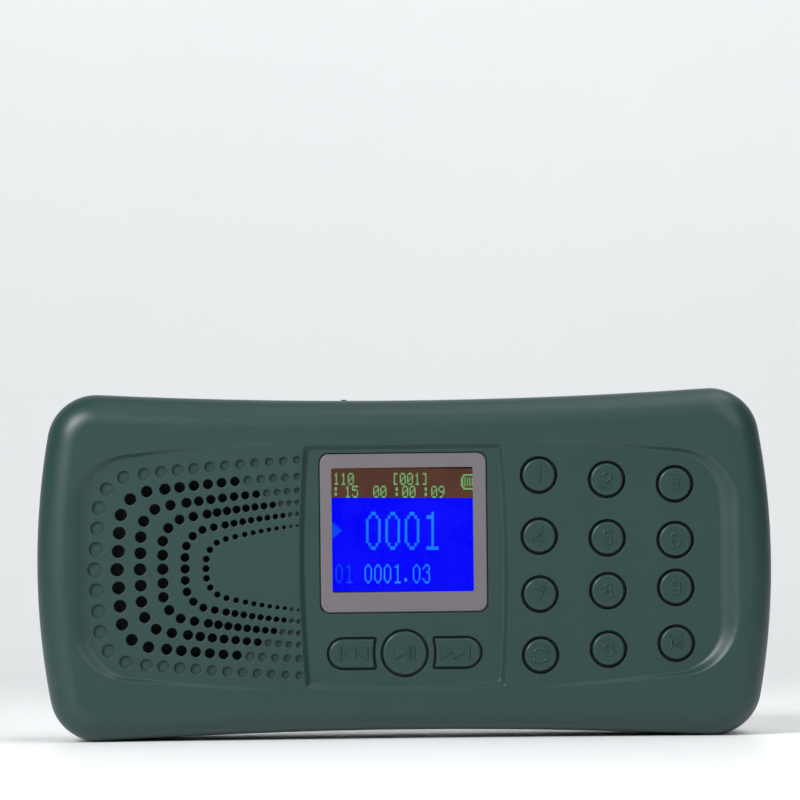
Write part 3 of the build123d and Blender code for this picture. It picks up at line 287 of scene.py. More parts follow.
def bowed(start, middle, end, count):
    """Arc through three points."""
    (ax, az), (bx, bz), (cx, cz) = start, middle, end
    d = 2 * (ax * (bz - cz) + bx * (cz - az) + cx * (az - bz))
    a, b, c = ax**2 + az**2, bx**2 + bz**2, cx**2 + cz**2
    centre = (
        (a * (bz - cz) + b * (cz - az) + c * (az - bz)) / d,
        (a * (cx - bx) + b * (ax - cx) + c * (bx - ax)) / d,
    )
    angles = np.unwrap([math.atan2(p[1] - centre[1], p[0] - centre[0]) for p in (start, middle, end)])
    return arc(centre, math.dist(start, centre), angles[0], angles[2], count)


def bay_ring(grow, corner):
    """The display bay's outline: straight top, bowed sides and bottom, corners eased a little."""
    side, top, bottom = 22.8 + grow, 27.8 + grow, -28.2 - grow
    ring = joined(
        bowed((side, bottom), (side + 1.2, 0), (side, top), 61),
        straight((side, top), (-side, top), 49),
        bowed((-side, top), (-side - 1.2, 0), (-side, bottom), 61),
        bowed((-side, bottom), (0, bottom - 1.1), (side, bottom), 49),
    )[:-1]
    # ease each sharp corner over the two points beside it
    eased = ring.copy()
    for at in (0, 60, 108, 168):
        before, after = ring[at - 1], ring[(at + 1) % len(ring)]
        eased[at] = ring[at] * (1 - corner) + (before + after) / 2 * corner
    return eased


def skip_ring(side, inset):
    """A skip key's outline, moved inwards: round outer end, hollow end beside the play key."""
    x, z = middle_of("key_play")
    radius, hollow, ease = SKIP_ROUND - inset, SKIP_HOLLOW + inset, max(0.7 - inset, 0.12)
    reach = math.sqrt((hollow + ease) ** 2 - (radius - ease) ** 2)
    near = reach - SKIP_HOLLOW_X
    turn = math.atan2(radius - ease, reach)
    ring = joined(
        arc((SKIP_ROUND_X, 0), radius, -math.pi / 2, math.pi / 2, 37),
        straight((SKIP_ROUND_X, radius), (near, radius), 9),
        arc((near, radius - ease), ease, math.pi / 2, math.pi + turn, 9),
        arc((-SKIP_HOLLOW_X, 0), hollow, turn, -turn, 17),
        arc((near, ease - radius), ease, math.pi - turn, 3 * math.pi / 2, 9),
        straight((near, -radius), (SKIP_ROUND_X, -radius), 9),
    )[:-1]
    if side < 0:
        ring = (ring * (-1, 1))[::-1]
    return ring + (x, z)


def frame_ring(grow):
    """The display frame's outline, moved outwards."""
    low, high = cad_box("display_frame")
    x, z = (low[0] + high[0]) / 2, (low[2] + high[2]) / 2
    half_x, half_z = (high[0] - low[0]) / 2 - 1.0 + grow, (high[2] - low[2]) / 2 - 1.0 + grow
    r = FRAME_CORNER
    corner = arc((half_x - r, half_z - r), r, 0, math.pi / 2, 9)
    quarter = joined(straight((half_x, 0), corner[0], 3), corner, straight(corner[-1], (0, half_z), 3))
    return mirrored(quarter) + (x, z)


def dish(x):
    """Depth of the dished front."""
    return PANEL + (np.square(x) - FLUSH_X**2) / (2 * FRONT_CURVE)


def level(x):
    """Depth inside the recess: the flat panel, or the dished front where that lies lower."""
    low = dish(x)
    return (PANEL + low - np.sqrt((PANEL - low) ** 2 + 0.0009)) / 2


def inside(points, ring):
    """Which points lie inside a closed ring."""
    x, z = points[:, 0][:, None], points[:, 1][:, None]
    ax, az = ring[:, 0][None], ring[:, 1][None]
    bx, bz = np.roll(ax, -1, axis=1), np.roll(az, -1, axis=1)
    crosses = (az > z) != (bz > z)
    with np.errstate(divide="ignore", invalid="ignore"):
        at = ax + (z - az) * (bx - ax) / (bz - az)
    return (np.sum(crosses & (x < at), axis=1) % 2) == 1


# ---- grille holes ----


def grille_holes():
    """Centre, diameter and whether it goes through, for every grille hole."""
    for left, lean, high, end, radius, pitch, count, wide, narrow in GRILLE_ROWS:
        bend = np.array((left + lean, high))
        start, finish = np.array((left, 0.0)), np.array((GRILLE_END, end))
        to_start, to_end = start - bend, finish - bend
        first, last = np.linalg.norm(to_start), np.linalg.norm(to_end)
        to_start, to_end = to_start / first, to_end / last
        half = math.acos(float(to_start @ to_end)) / 2
        trim = radius / math.tan(half)
        mid = (to_start + to_end) / np.linalg.norm(to_start + to_end)
        centre = bend + mid * radius / math.sin(half)
        sweep = math.pi - 2 * half
        curve = radius * sweep
        total = first - trim + curve + last - trim
        step = (total - CORNER_STEPS * pitch) / (count - CORNER_STEPS)
        for hole in range(count + 1):
            late = max(hole - CORNER_STEPS, 0)
            along = min(hole, CORNER_STEPS) * pitch
            along += late * step * (1 + 0.12 * (1 - late / (count - CORNER_STEPS)))
            if along < first - trim:
                place = start - to_start * along
            elif along < first - trim + curve:
                arm = bend + to_start * trim - centre
                turn = -(along - first + trim) / radius
                cos, sin = math.cos(turn), math.sin(turn)
                place = centre + (arm[0] * cos - arm[1] * sin, arm[0] * sin + arm[1] * cos)
            else:
                place = bend + to_end * (along - first + trim - curve + trim)
            across = max(0.0, (place[0] - bend[0]) / (GRILLE_END - bend[0]))
            bow = GRILLE_BOW * 4 * across * (1 - across)
            size = wide + (narrow - wide) * hole / count
            for side in (1, -1) if hole else (1,):
                x, z = float(place[0]), PAD_MIDDLE + side * (float(place[1]) + bow)
                yield (x, z), size, math.dist((x, z), OPEN_CENTRE) < OPEN_RADIUS


# ---- front shell ----


def hole_rim(shape, ring, surface, rim, bottom):
    """A hole's edge rounded by rim, then its wall down to a depth. Returns the wall's last ring."""
    normals = outward(ring)
    rings, leans = [], []
    for turn in np.linspace(0, math.pi / 2, 4):
        moved = ring + normals * rim * (1 - math.sin(turn))
        rings.append(at_depth(moved, surface - rim * (1 - math.cos(turn))))
        leans.append(facing(-normals, math.sin(turn), math.cos(turn)))
    last = at_depth(ring, bottom)
    rings.append(last)
    leans.append(facing(-normals, 1.0, 0.0))
    shape.strips(rings, leans)
    return last


def cut_sheet(outer, lines, holes, extra):
    """Triangles inside a ring and outside the holes. Returns plane points and triangles."""
    points, edges = [], []
    for ring in [outer, *holes]:
        start, count = len(points), len(ring)
        points.extend(map(tuple, ring))
        edges.extend((start + i, start + (i + 1) % count) for i in range(count))
    for line in lines:
        start = len(points)
        points.extend(map(tuple, line))
        edges.extend((start + i, start + i + 1) for i in range(len(line) - 1))
    points.extend(map(tuple, extra))
    made, _, triangles, _, _, _ = delaunay_2d_cdt([Vector(p) for p in points], edges, [], 0, 1e-5)
    made = np.array([tuple(p) for p in made])
    triangles = np.array(triangles)
    middles = made[triangles].mean(axis=1)
    keep = inside(middles, outer)
    for hole in holes:
        near = np.all(np.abs(middles - hole.mean(axis=0)) < np.ptp(hole, axis=0), axis=1) & keep
        if near.any():
            keep[np.flatnonzero(near)[inside(middles[near], hole)]] = False
    return made, triangles[keep]


def sheet_normals(points, triangles):
    """Area-weighted corner normals of a sheet that faces forwards, as x, depth, z."""
    a, b, c = (points[triangles[:, i]] for i in range(3))
    flat = np.cross(c - a, b - a)
    flat[flat[:, 1] < 0] *= -1
    total = np.zeros_like(points)
    for i in range(3):
        np.add.at(total, triangles[:, i], flat)
    return total / np.maximum(np.linalg.norm(total, axis=1, keepdims=True), 1e-12)


def front_surface(shape):
    """The outside of the front shell: rolled edge, dished front, recess, bay and all holes."""
    # rolled edge, from the side wall to the dished front
    rings, normals = [], []
    base = case_ring(0.0)
    lean = outward(base)
    inner = case_ring(FRONT_ROLL)
    rings.append(at_depth(base, dish(inner[:, 0]) - FRONT_ROLL))
    normals.append(facing(lean, 1.0, 0.0))
    for turn in np.linspace(0, math.pi / 2, 16):
        ring = case_ring(FRONT_ROLL * (1 - math.cos(turn)))
        rings.append(at_depth(ring, dish(ring[:, 0]) - FRONT_ROLL * (1 - math.sin(turn))))
        normals.append(facing(lean, math.cos(turn), math.sin(turn)))
    slope = inner[:, 0] / FRONT_CURVE
    normals[-1] = np.column_stack([-slope, np.ones(len(slope)), np.zeros(len(slope))])
    shape.strips(rings, normals)

    # recess steps: an S-shaped wall, broad at the ends and narrow along the long sides
    bay_edge = bay_ring(BAY_SLOPE + 0.25, 0.25)
    guard = bay_ring(BAY_SLOPE + 0.8, 0.0)
    lines, line_depths = [], []
    steps = (0.0, 0.06, 0.16, 0.28, 0.42, 0.58, 0.72, 0.84, 0.94, 1.0)
    for t in steps:
        ring = recess_ring(RECESS_END_SLOPE * t, RECESS_SIDE_SLOPE * (t - 0.5))
        blend = t * t * (3 - 2 * t)
        depth = level(ring[:, 0]) * (1 - blend) + dish(ring[:, 0]) * blend
        kept = ~inside(ring, guard) & (np.abs(ring[:, 0]) > 15.0)
        for half in (ring[:, 0] > 0, ring[:, 0] < 0):
            chosen = np.flatnonzero(half & kept)
            # start the run after its gap, so that it is one open line
            gap = np.flatnonzero(np.diff(chosen) > 1)
            if len(gap):
                chosen = np.roll(chosen, -(gap[0] + 1))
            lines.append(ring[chosen])
            line_depths.append(depth[chosen])

    holes = [bay_edge]
    for name in PAD_KEYS:
        holes.append(circle(middle_of(f"key_{name}"), KEY_HOLE + 0.12, 64))
    grille = list(grille_holes())
    for centre, size, through in grille:
        rim = 0.2 if through else 0.16
        holes.append(circle(centre, size / 2 + rim, 28))

    # points that keep the curved parts even
    xs, zs = np.meshgrid(np.arange(-88, 88.1, 2.0), np.arange(-40, 40.1, 2.0))
    extra = np.column_stack([xs.ravel(), zs.ravel()])
    outer_step = recess_ring(RECESS_END_SLOPE + 0.8, RECESS_SIDE_SLOPE / 2 + 0.8)
    inner_step = recess_ring(-0.8, -RECESS_SIDE_SLOPE / 2 - 0.8)
    near_edge = case_ring(FRONT_ROLL + 0.8)
    open_front = inside(extra, near_edge) & ~inside(extra, outer_step)
    open_panel = inside(extra, inner_step) & ~inside(extra, guard)
    for hole in holes[1:]:
        reach = np.ptp(hole[:, 0]) / 2 + 0.5
        open_panel &= np.linalg.norm(extra - hole.mean(axis=0), axis=1) > reach
    extra = extra[open_front | open_panel]

    plane, triangles = cut_sheet(inner, lines, holes, extra)
    limit = recess_ring(RECESS_END_SLOPE / 2, 0.0)
    depth = np.where(inside(plane, limit), level(plane[:, 0]), dish(plane[:, 0]))
    known = {}
    for line, line_depth in zip(lines, line_depths):
        for place, value in zip(np.round(line * 1000).astype(int), line_depth):
            known[tuple(place)] = value
    for i, place in enumerate(np.round(plane * 1000).astype(int)):
        depth[i] = known.get(tuple(place), depth[i])
    points = np.column_stack([plane[:, 0], depth, plane[:, 1]])
    corner = sheet_normals(points, triangles)
    rim_slope = plane[:, 0] / FRONT_CURVE
    on_rim = ~inside(plane, case_ring(FRONT_ROLL + 0.02))
    corner[on_rim] = np.column_stack([-rim_slope, np.ones(len(plane)), np.zeros(len(plane))])[on_rim]
    shape.add(points, corner, [tuple(t) for t in triangles])

    # display bay: eased upper edge, sloping wall, fillet at the floor
    profile = ((0.25, 0.0, 0.0), (0.12, 0.04, 0.35), (0.0, 0.14, 0.72), (-0.95, 1.02, 0.72),
               (-1.12, 1.14, 0.4), (-1.3, 1.2, 0.0))
    rings, normals = [], []
    for move, drop, lean_in in profile:
        ring = bay_ring(BAY_SLOPE + move, 0.25)
        top = level(ring[:, 0])
        floor_share = drop / 1.2
        rings.append(at_depth(ring, top * (1 - floor_share) + BAY_FLOOR * floor_share))
        normals.append(facing(-outward(ring), lean_in, math.sqrt(1 - lean_in**2)))
    shape.strips(rings, normals)
    floor_edge = bay_ring(BAY_SLOPE - 1.3, 0.25)
    cuts = [frame_ring(FRAME_GAP + 0.1), circle(middle_of("key_play"), PLAY_HOLE + 0.12, 80)]
    cuts += [skip_ring(side, -0.12) for side in (-1, 1)]
    plane, triangles = cut_sheet(floor_edge, [], cuts, np.zeros((0, 2)))
    points = at_depth(plane, BAY_FLOOR)
    shape.add(points, np.tile((0.0, 1.0, 0.0), (len(points), 1)), [tuple(t) for t in triangles])

    hole_rim(shape, frame_ring(FRAME_GAP), BAY_FLOOR, 0.1, PANEL_BACK)
    hole_rim(shape, circle(middle_of("key_play"), PLAY_HOLE, 80), BAY_FLOOR, 0.12, PANEL_BACK)
    for side in (-1, 1):
        hole_rim(shape, skip_ring(side, 0.0), BAY_FLOOR, 0.12, PANEL_BACK)
    for name in PAD_KEYS:
        centre = middle_of(f"key_{name}")
        hole_rim(shape, circle(centre, KEY_HOLE, 64), level(np.array(centre[0])), 0.12, PANEL_BACK)
    for centre, size, through in grille:
        rim = 0.2 if through else 0.16
        bottom = PANEL_BACK if through else PANEL - 0.8
        ring = hole_rim(shape, circle(centre, size / 2, 28), level(np.array(centre[0])), rim, bottom)
        if not through:
            shape.cap(ring, (0.0, 1.0, 0.0))


def cad_faces(node):
    """Each face of a CAD mesh: its points, its corner normals, how much it faces forwards."""
    mesh = NODES[node].data
    places = np.array([v.co for v in mesh.vertices]) / MM
    places = np.column_stack([places[:, 0], -places[:, 1], places[:, 2] - CENTRE])
    corner = np.array([n.vector for n in mesh.corner_normals])
    corner[:, 1] *= -1
    for polygon in mesh.polygons:
        yield places[list(polygon.vertices)], corner[list(polygon.loop_indices)], -polygon.normal.y


def kept_inside(shape, node):
    """Adds the CAD shell without its front surface: side walls, ribs, bosses and pilot holes."""
    for points, normals, forward in cad_faces(node):
        nearest = points[:, 1].min()
        if nearest > PANEL_BACK - 0.02 and forward > -0.9:
            continue
        if nearest > 12.0 and forward > 0.02:
            continue
        shape.face(points, normals)


# ---- materials ----


def node_of(tree, kind, **values):
    made = tree.nodes.new(kind)
    for name, value in values.items():
        if name in made.inputs:
            made.inputs[name].default_value = value
        else:
            setattr(made, name, value)
    return made


def two_shades(tree, colour, other):
    """A colour ramp between two shades."""
    ramp = node_of(tree, "ShaderNodeValToRGB")
    for stop, at, shade in zip(ramp.color_ramp.elements, (0.3, 0.7), (colour, other)):
        stop.position = at
        stop.color = (*shade, 1)
    return ramp


def finish(
    name, colour, other, rough=0.5, metallic=0.0, grain=6000.0, depth=0.02, mottle=120.0, spec=0.5,
    coat=0.0, stretch=(1, 1, 1), spread=0.12,
):
    """A procedural finish: colour drifts between two shades, the surface has a fine grain."""
    material = bpy.data.materials.new(name)
    material.use_nodes = True
    tree = material.node_tree
    shader = tree.nodes["Principled BSDF"]
    shader.inputs["Metallic"].default_value = metallic
    shader.inputs["Specular IOR Level"].default_value = spec
    shader.inputs["Coat Weight"].default_value = coat
    where = node_of(tree, "ShaderNodeTexCoord")
    scaled = node_of(tree, "ShaderNodeMapping")
    scaled.inputs["Scale"].default_value = stretch
    tree.links.new(where.outputs["Object"], scaled.inputs["Vector"])
    drift = node_of(tree, "ShaderNodeTexNoise", Scale=mottle, Detail=4.0, Roughness=0.6)
    ramp = two_shades(tree, colour, other)
    fine = node_of(tree, "ShaderNodeTexNoise", Scale=grain, Detail=2.0, Roughness=0.6)
    shine = node_of(tree, "ShaderNodeMapRange")
    shine.inputs["To Min"].default_value = rough * (1 - spread)
    shine.inputs["To Max"].default_value = min(rough * (1 + spread), 1.0)
    bump = node_of(tree, "ShaderNodeBump", Strength=0.6)
    bump.inputs["Distance"].default_value = depth * MM
    link = tree.links.new
    for noise in (drift, fine):
        link(scaled.outputs["Vector"], noise.inputs["Vector"])
    link(drift.outputs["Fac"], ramp.inputs["Fac"])
    link(ramp.outputs["Color"], shader.inputs["Base Color"])
    link(fine.outputs["Fac"], shine.inputs["Value"])
    link(shine.outputs["Result"], shader.inputs["Roughness"])
    link(fine.outputs["Fac"], bump.inputs["Height"])
    link(bump.outputs["Normal"], shader.inputs["Normal"])
    return material


def shade_behind(material, dark, lit):
    """Darkens a finish behind a depth. It stands in for the shade deep in a key's gap."""
    tree = material.node_tree
    shader = tree.nodes["Principled BSDF"]
    colour = shader.inputs["Base Color"].links[0].from_socket
    split = node_of(tree, "ShaderNodeSeparateXYZ")
    share = node_of(tree, "ShaderNodeMapRange")
    for socket, value in zip(share.inputs[1:5], (-dark * MM, -lit * MM, 0.12, 1.0)):
        socket.default_value = value
    scaled = node_of(tree, "ShaderNodeVectorMath", operation="SCALE")
    tree.links.new(tree.nodes["Texture Coordinate"].outputs["Object"], split.inputs[0])
    tree.links.new(split.outputs["Y"], share.inputs["Value"])
    tree.links.new(colour, scaled.inputs[0])
    tree.links.new(share.outputs["Result"], scaled.inputs["Scale"])
    tree.links.new(scaled.outputs["Vector"], shader.inputs["Base Color"])


def weave(name, colour, other, threads, depth, rough):
    """An open plain weave: two crossing sets of threads."""
    material = finish(name, colour, other, rough=rough, grain=9000.0, depth=0.01)
    tree = material.node_tree
    where = tree.nodes["Texture Coordinate"]
    bump = tree.nodes["Bump"]
    waves = []
    for axis in ("X", "Z"):
        wave = node_of(tree, "ShaderNodeTexWave", Scale=threads, bands_direction=axis)
        tree.links.new(where.outputs["Object"], wave.inputs["Vector"])
        waves.append(wave)
    both = node_of(tree, "ShaderNodeMath", operation="MAXIMUM")
    for i, wave in enumerate(waves):
        tree.links.new(wave.outputs["Fac"], both.inputs[i])
    cloth = node_of(tree, "ShaderNodeBump", Strength=0.9)
    cloth.inputs["Distance"].default_value = depth * MM
    tree.links.new(both.outputs[0], cloth.inputs["Height"])
    tree.links.new(bump.outputs["Normal"], cloth.inputs["Normal"])
    tree.links.new(cloth.outputs["Normal"], tree.nodes["Principled BSDF"].inputs["Normal"])
    return material


def glowing(name, colour, other, strength, scale=60.0):
    """A lit display colour that drifts a little between two shades."""
    material = finish(name, (0.0, 0.0, 0.0), (0.002, 0.002, 0.004), rough=0.25, depth=0.002, spec=0.04)
    tree = material.node_tree
    shader = tree.nodes["Principled BSDF"]
    drift = node_of(tree, "ShaderNodeTexNoise", Scale=scale, Detail=2.0)
    ramp = two_shades(tree, colour, other)
    tree.links.new(tree.nodes["Texture Coordinate"].outputs["Object"], drift.inputs["Vector"])
    tree.links.new(drift.outputs["Fac"], ramp.inputs["Fac"])
    tree.links.new(ramp.outputs["Color"], shader.inputs["Emission Color"])
    shader.inputs["Emission Strength"].default_value = strength
    return material


def clear(name):
    """Clear cover glass: a faint dark tint and a gloss."""
    material = finish(
        name, (0.002, 0.002, 0.003), (0.004, 0.004, 0.006), rough=0.05, depth=0.0004, mottle=30.0, spec=0.3,
    )
    shader = material.node_tree.nodes["Principled BSDF"]
    shader.inputs["Alpha"].default_value = 0.04
    material.surface_render_method = "BLENDED"
    return material


CASE = finish(
    "case_plastic", (0.0115, 0.0375, 0.0345), (0.0130, 0.0405, 0.0373), rough=0.40, grain=5200.0,
    depth=0.018, mottle=160.0, spec=0.4,
)
KEYS = finish(
    "key_plastic", (0.0115, 0.0375, 0.0345), (0.0130, 0.0405, 0.0373), rough=0.37, grain=6500.0,
    depth=0.01, mottle=220.0, spec=0.4,
)
shade_behind(KEYS, 18.6, 19.3)
GREY = finish(
    "frame_grey", (0.118, 0.106, 0.119), (0.126, 0.113, 0.127), rough=0.42, grain=7000.0,
    depth=0.006, mottle=90.0, spec=0.4,
)
SLOTS = {
    "case_plastic": CASE,
    "key_plastic": KEYS,
    "frame_grey": GREY,
    "lens_clear": clear("lens_clear"),
    "lcd_face": finish("lcd_face", (0.004, 0.004, 0.005), (0.006, 0.006, 0.008), rough=0.2, depth=0.002),
    "backlight_white": finish("backlight_white", (0.75, 0.75, 0.72), (0.8, 0.8, 0.78), rough=0.5),
    "ribbon_amber": finish("ribbon_amber", (0.5, 0.2, 0.03), (0.58, 0.26, 0.05), rough=0.3, depth=0.005),
    "connector_white": finish("connector_white", (0.68, 0.65, 0.57), (0.74, 0.72, 0.64), rough=0.5),
    "board_green": finish("board_green", (0.012, 0.1, 0.035), (0.02, 0.13, 0.05), rough=0.3, mottle=900.0),
    "chip_black": finish("chip_black", (0.012, 0.012, 0.012), (0.02, 0.02, 0.02), rough=0.6, depth=0.03),
    "sink_aluminium": finish(
        "sink_aluminium", (0.55, 0.55, 0.57), (0.62, 0.62, 0.64), rough=0.35, metallic=1.0,
        stretch=(1, 1, 0.05), grain=4000.0,
    ),
    "capacitor_sleeve": finish("capacitor_sleeve", (0.02, 0.035, 0.09), (0.03, 0.05, 0.12), rough=0.3),
    "mat_silicone": finish("mat_silicone", (0.40, 0.40, 0.40), (0.46, 0.46, 0.46), rough=0.7, depth=0.03),
    "screw_steel": finish(
        "screw_steel", (0.40, 0.40, 0.41), (0.52, 0.52, 0.53), rough=0.32, metallic=1.0, mottle=900.0,
    ),
    "contact_nickel": finish(
        "contact_nickel", (0.62, 0.61, 0.58), (0.72, 0.71, 0.68), rough=0.22, metallic=1.0, mottle=400.0,
    ),
    "cell_wrap": finish("cell_wrap", (0.03, 0.2, 0.09), (0.045, 0.25, 0.12), rough=0.28, depth=0.01),
    "lead_red": finish("lead_red", (0.42, 0.012, 0.012), (0.5, 0.02, 0.02), rough=0.45),
    "lead_black": finish("lead_black", (0.014, 0.014, 0.014), (0.022, 0.022, 0.022), rough=0.45),
    "cloth_black": weave("cloth_black", (0.004, 0.004, 0.004), (0.008, 0.008, 0.008), 700.0, 0.05, 0.95),
    "basket_black": finish("basket_black", (0.018, 0.018, 0.018), (0.03, 0.03, 0.03), rough=0.4),
    "cone_paper": finish(
        "cone_paper", (0.028, 0.027, 0.025), (0.05, 0.048, 0.045), rough=0.9, grain=2500.0, depth=0.08,
    ),
    "surround_rubber": finish("surround_rubber", (0.012, 0.012, 0.012), (0.02, 0.02, 0.02), rough=0.6),
    "coil_copper": finish(
        "coil_copper", (0.55, 0.22, 0.1), (0.68, 0.32, 0.17), rough=0.3, metallic=1.0,
        stretch=(0.02, 1, 0.02), grain=9000.0, depth=0.05,
    ),
    "magnet_ferrite": finish("magnet_ferrite", (0.03, 0.03, 0.034), (0.055, 0.055, 0.06), rough=0.55),
    "plate_steel": finish(
        "plate_steel", (0.42, 0.42, 0.43), (0.52, 0.52, 0.53), rough=0.35, metallic=1.0, mottle=500.0,
    ),
    "knob_black": finish(
        "knob_black", (0.008, 0.008, 0.010), (0.013, 0.013, 0.016), rough=0.34, grain=7000.0,
        depth=0.006, spec=0.6,
    ),
    "shaft_steel": finish(
        "shaft_steel", (0.45, 0.45, 0.46), (0.55, 0.55, 0.56), rough=0.28, metallic=1.0,
        stretch=(1, 0.02, 0.02),
    ),
    "control_black": finish("control_black", (0.012, 0.012, 0.013), (0.02, 0.02, 0.022), rough=0.5),
    "socket_steel": finish(
        "socket_steel", (0.50, 0.50, 0.51), (0.60, 0.60, 0.61), rough=0.25, metallic=1.0,
        stretch=(0.05, 1, 1), mottle=600.0,
    ),
    "insert_white": finish("insert_white", (0.72, 0.72, 0.72), (0.78, 0.78, 0.78), rough=0.45),
    "pin_brass": finish("pin_brass", (0.62, 0.52, 0.28), (0.72, 0.62, 0.38), rough=0.22, metallic=1.0),
}


def dress(piece, material):
    piece.data.materials.clear()
    piece.data.materials.append(material)


def place(piece, body, slot, *nodes):
    """Gives a new piece its finish and its body, and hides the CAD nodes that it stands for."""
    dress(piece, SLOTS[slot])
    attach(piece, body)
    if nodes:
        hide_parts(*nodes)
    return piece


for part in frame["record"]["subparts"]:
    dress(NODES[part["node"]], SLOTS[part["material_slot"]])

# ---- camera, lights and floor ----

VIEW_DISTANCE = 1.05       # from the case's middle plane, in metres
VIEW_WIDTH = 0.19707       # what the frame's width takes in there
camera_data = bpy.data.cameras.new("camera")
camera_data.sensor_width = 36.0
camera_data.lens = 36.0 * VIEW_DISTANCE / VIEW_WIDTH
camera_data.shift_x = -0.00525
camera_data.shift_y = 0.20612
camera_data.clip_start = 0.01
camera = bpy.data.objects.new("camera", camera_data)
camera.location = (0.0, -VIEW_DISTANCE, CENTRE * MM)
camera.rotation_mode = "XYZ"
camera.rotation_euler = (math.pi / 2, math.radians(0.6455), 0.0)
bpy.context.scene.collection.objects.link(camera)
bpy.context.scene.camera = camera
bpy.context.scene.view_settings.view_transform = "Standard"


def softbox(name, place_at, aim, size, power, colour=(1.0, 1.0, 1.0)):
    """A rectangular area light that faces a point."""
    data = bpy.data.lights.new(name, "AREA")
    data.shape = "RECTANGLE"
    data.size, data.size_y = size
    data.energy = power
    data.color = colour
    lamp = bpy.data.objects.new(name, data)
    lamp.location = place_at
    lamp.rotation_mode = "QUATERNION"
    lamp.rotation_quaternion = (Vector(aim) - Vector(place_at)).to_track_quat("-Z", "Y")
    bpy.context.scene.collection.objects.link(lamp)


TARGET = (0.0, 0.0, 0.04)
softbox("key", (-0.60, -0.75, 0.60), TARGET, (0.40, 0.40), 13.0)
softbox("second", (0.60, -0.75, 0.60), TARGET, (0.70, 0.70), 3.7)
softbox("top", (0.25, -0.05, 0.85), TARGET, (0.9, 0.5), 3.6)
softbox("back", (0.45, 1.10, 0.55), TARGET, (0.6, 0.6), 6.0)

world = bpy.data.worlds.new("pale_room")
world.use_nodes = True
world.node_tree.nodes["Background"].inputs["Color"].default_value = (0.90, 0.93, 0.95, 1)
world.node_tree.nodes["Background"].inputs["Strength"].default_value = 0.10
bpy.context.scene.world = world

# a sheet of pale paper that runs up behind in one curve
curve = [(-1.6, 0.0), (0.5, 0.0)]
for i in range(1, 13):
    turn = i / 12 * math.pi / 2
    curve.append((0.5 + 0.35 * math.sin(turn), 0.35 * (1 - math.cos(turn))))
curve.append((0.85, 1.6))
paper = bpy.data.meshes.new("floor")
paper.from_pydata(
    [(x, y, z) for y, z in curve for x in (-1.8, 1.8)],
    [],
    [(2 * i, 2 * i + 1, 2 * i + 3, 2 * i + 2) for i in range(len(curve) - 1)],
)
paper.polygons.foreach_set("use_smooth", [True] * len(paper.polygons))
floor = bpy.data.objects.new("floor", paper)
bpy.context.scene.collection.objects.link(floor)
dress(floor, finish(
    "pale_floor", (0.90, 0.915, 0.925), (0.92, 0.935, 0.94), rough=0.4, grain=400.0, depth=0.01, mottle=3.0,
    spec=0.3,
))

# ---- case ----

moulding = Shape()
front_surface(moulding)
kept_inside(moulding, "front_shell")
place(moulding.make("front_moulding"), "case", "case_plastic", "front_shell")

# ---- keys ----


def ridge(shape, line, base, width, height, closed):
    """A raised rib with sloping flanks along a line on a key's face."""
    line = np.array(line, float)
    count = len(line)
    ahead, behind = np.roll(line, -1, axis=0) - line, line - np.roll(line, 1, axis=0)
    if not closed:
        ahead[-1], behind[0] = behind[-1], ahead[0]
    ahead /= np.linalg.norm(ahead, axis=1, keepdims=True)
    behind /= np.linalg.norm(behind, axis=1, keepdims=True)
    left = np.column_stack([-(ahead + behind)[:, 1], (ahead + behind)[:, 0]])
    left /= np.linalg.norm(left, axis=1, keepdims=True)
    side = np.column_stack([-ahead[:, 1], ahead[:, 0]])
    left /= np.maximum(np.sum(left * side, axis=1), 0.35)[:, None]
    profile = ((0.5, -0.05, 1.0, 0.5), (0.34, 0.85, 0.7, 0.8), (0.16, 1.0, 0.15, 1.0),
               (-0.16, 1.0, -0.15, 1.0), (-0.34, 0.85, -0.7, 0.8), (-0.5, -0.05, -1.0, 0.5))
    rings, normals = [], []
    for off, rise, lean, front in profile:
        rings.append(at_depth(line + left * off * width, base + rise * height))
        normals.append(facing(left, lean, front))
    rings.reverse()
    normals.reverse()
    shape.strips(rings, normals, closed)
    if not closed:
        for end, order, back in ((0, 1, -1), (count - 1, -1, 1)):
            loop = [ring[end] for ring in rings][::order]
            away = ahead[end] * back
            shape.cap(loop, (away[0], 0.3, away[1]))


def plate(shape, corners, base, height):
    """A flat-topped mark with eased edges, raised on a key's face; corners run anticlockwise."""
    corners = np.array(corners, float)
    along = np.roll(corners, -1, axis=0) - corners
    along /= np.linalg.norm(along, axis=1, keepdims=True)
    side = np.column_stack([along[:, 1], -along[:, 0]])
    before = np.roll(side, 1, axis=0)
    mitre = (side + before) / (1 + np.sum(side * before, axis=1, keepdims=True))
    foot = at_depth(corners, base - 0.05)
    edge = at_depth(corners, base + height - MARK_EDGE)
    top = at_depth(corners - mitre * MARK_EDGE, base + height)
    for i, (x, z) in enumerate(side):
        j = (i + 1) % len(corners)
        for low, high, front in ((foot, edge, 0.0), (edge, top, 1.0)):
            shape.add([low[i], low[j], high[j], high[i]], [(x, front, z)] * 4, [(0, 1, 2, 3)])
    shape.cap(top, (0.0, 1.0, 0.0))


def bend(x, z, radius, start, end, squash=1.0):
    """An arc of a numeral's centre line, angles in degrees."""
    return arc((0, 0), radius, math.radians(start), math.radians(end), 17) * (1, squash) + (x, z)


def curl(bowl, *rest):
    """A numeral's centre line from a bent run and the points that follow it."""
    return np.vstack([bowl, *[np.atleast_2d(np.array(part, float)) for part in rest]])


SIX = curl(((0.62, 1.55),), bend(0.25, 0.6, 1.2, 125, 190, 0.9), bend(0, -0.62, 1.0, 165, 515))
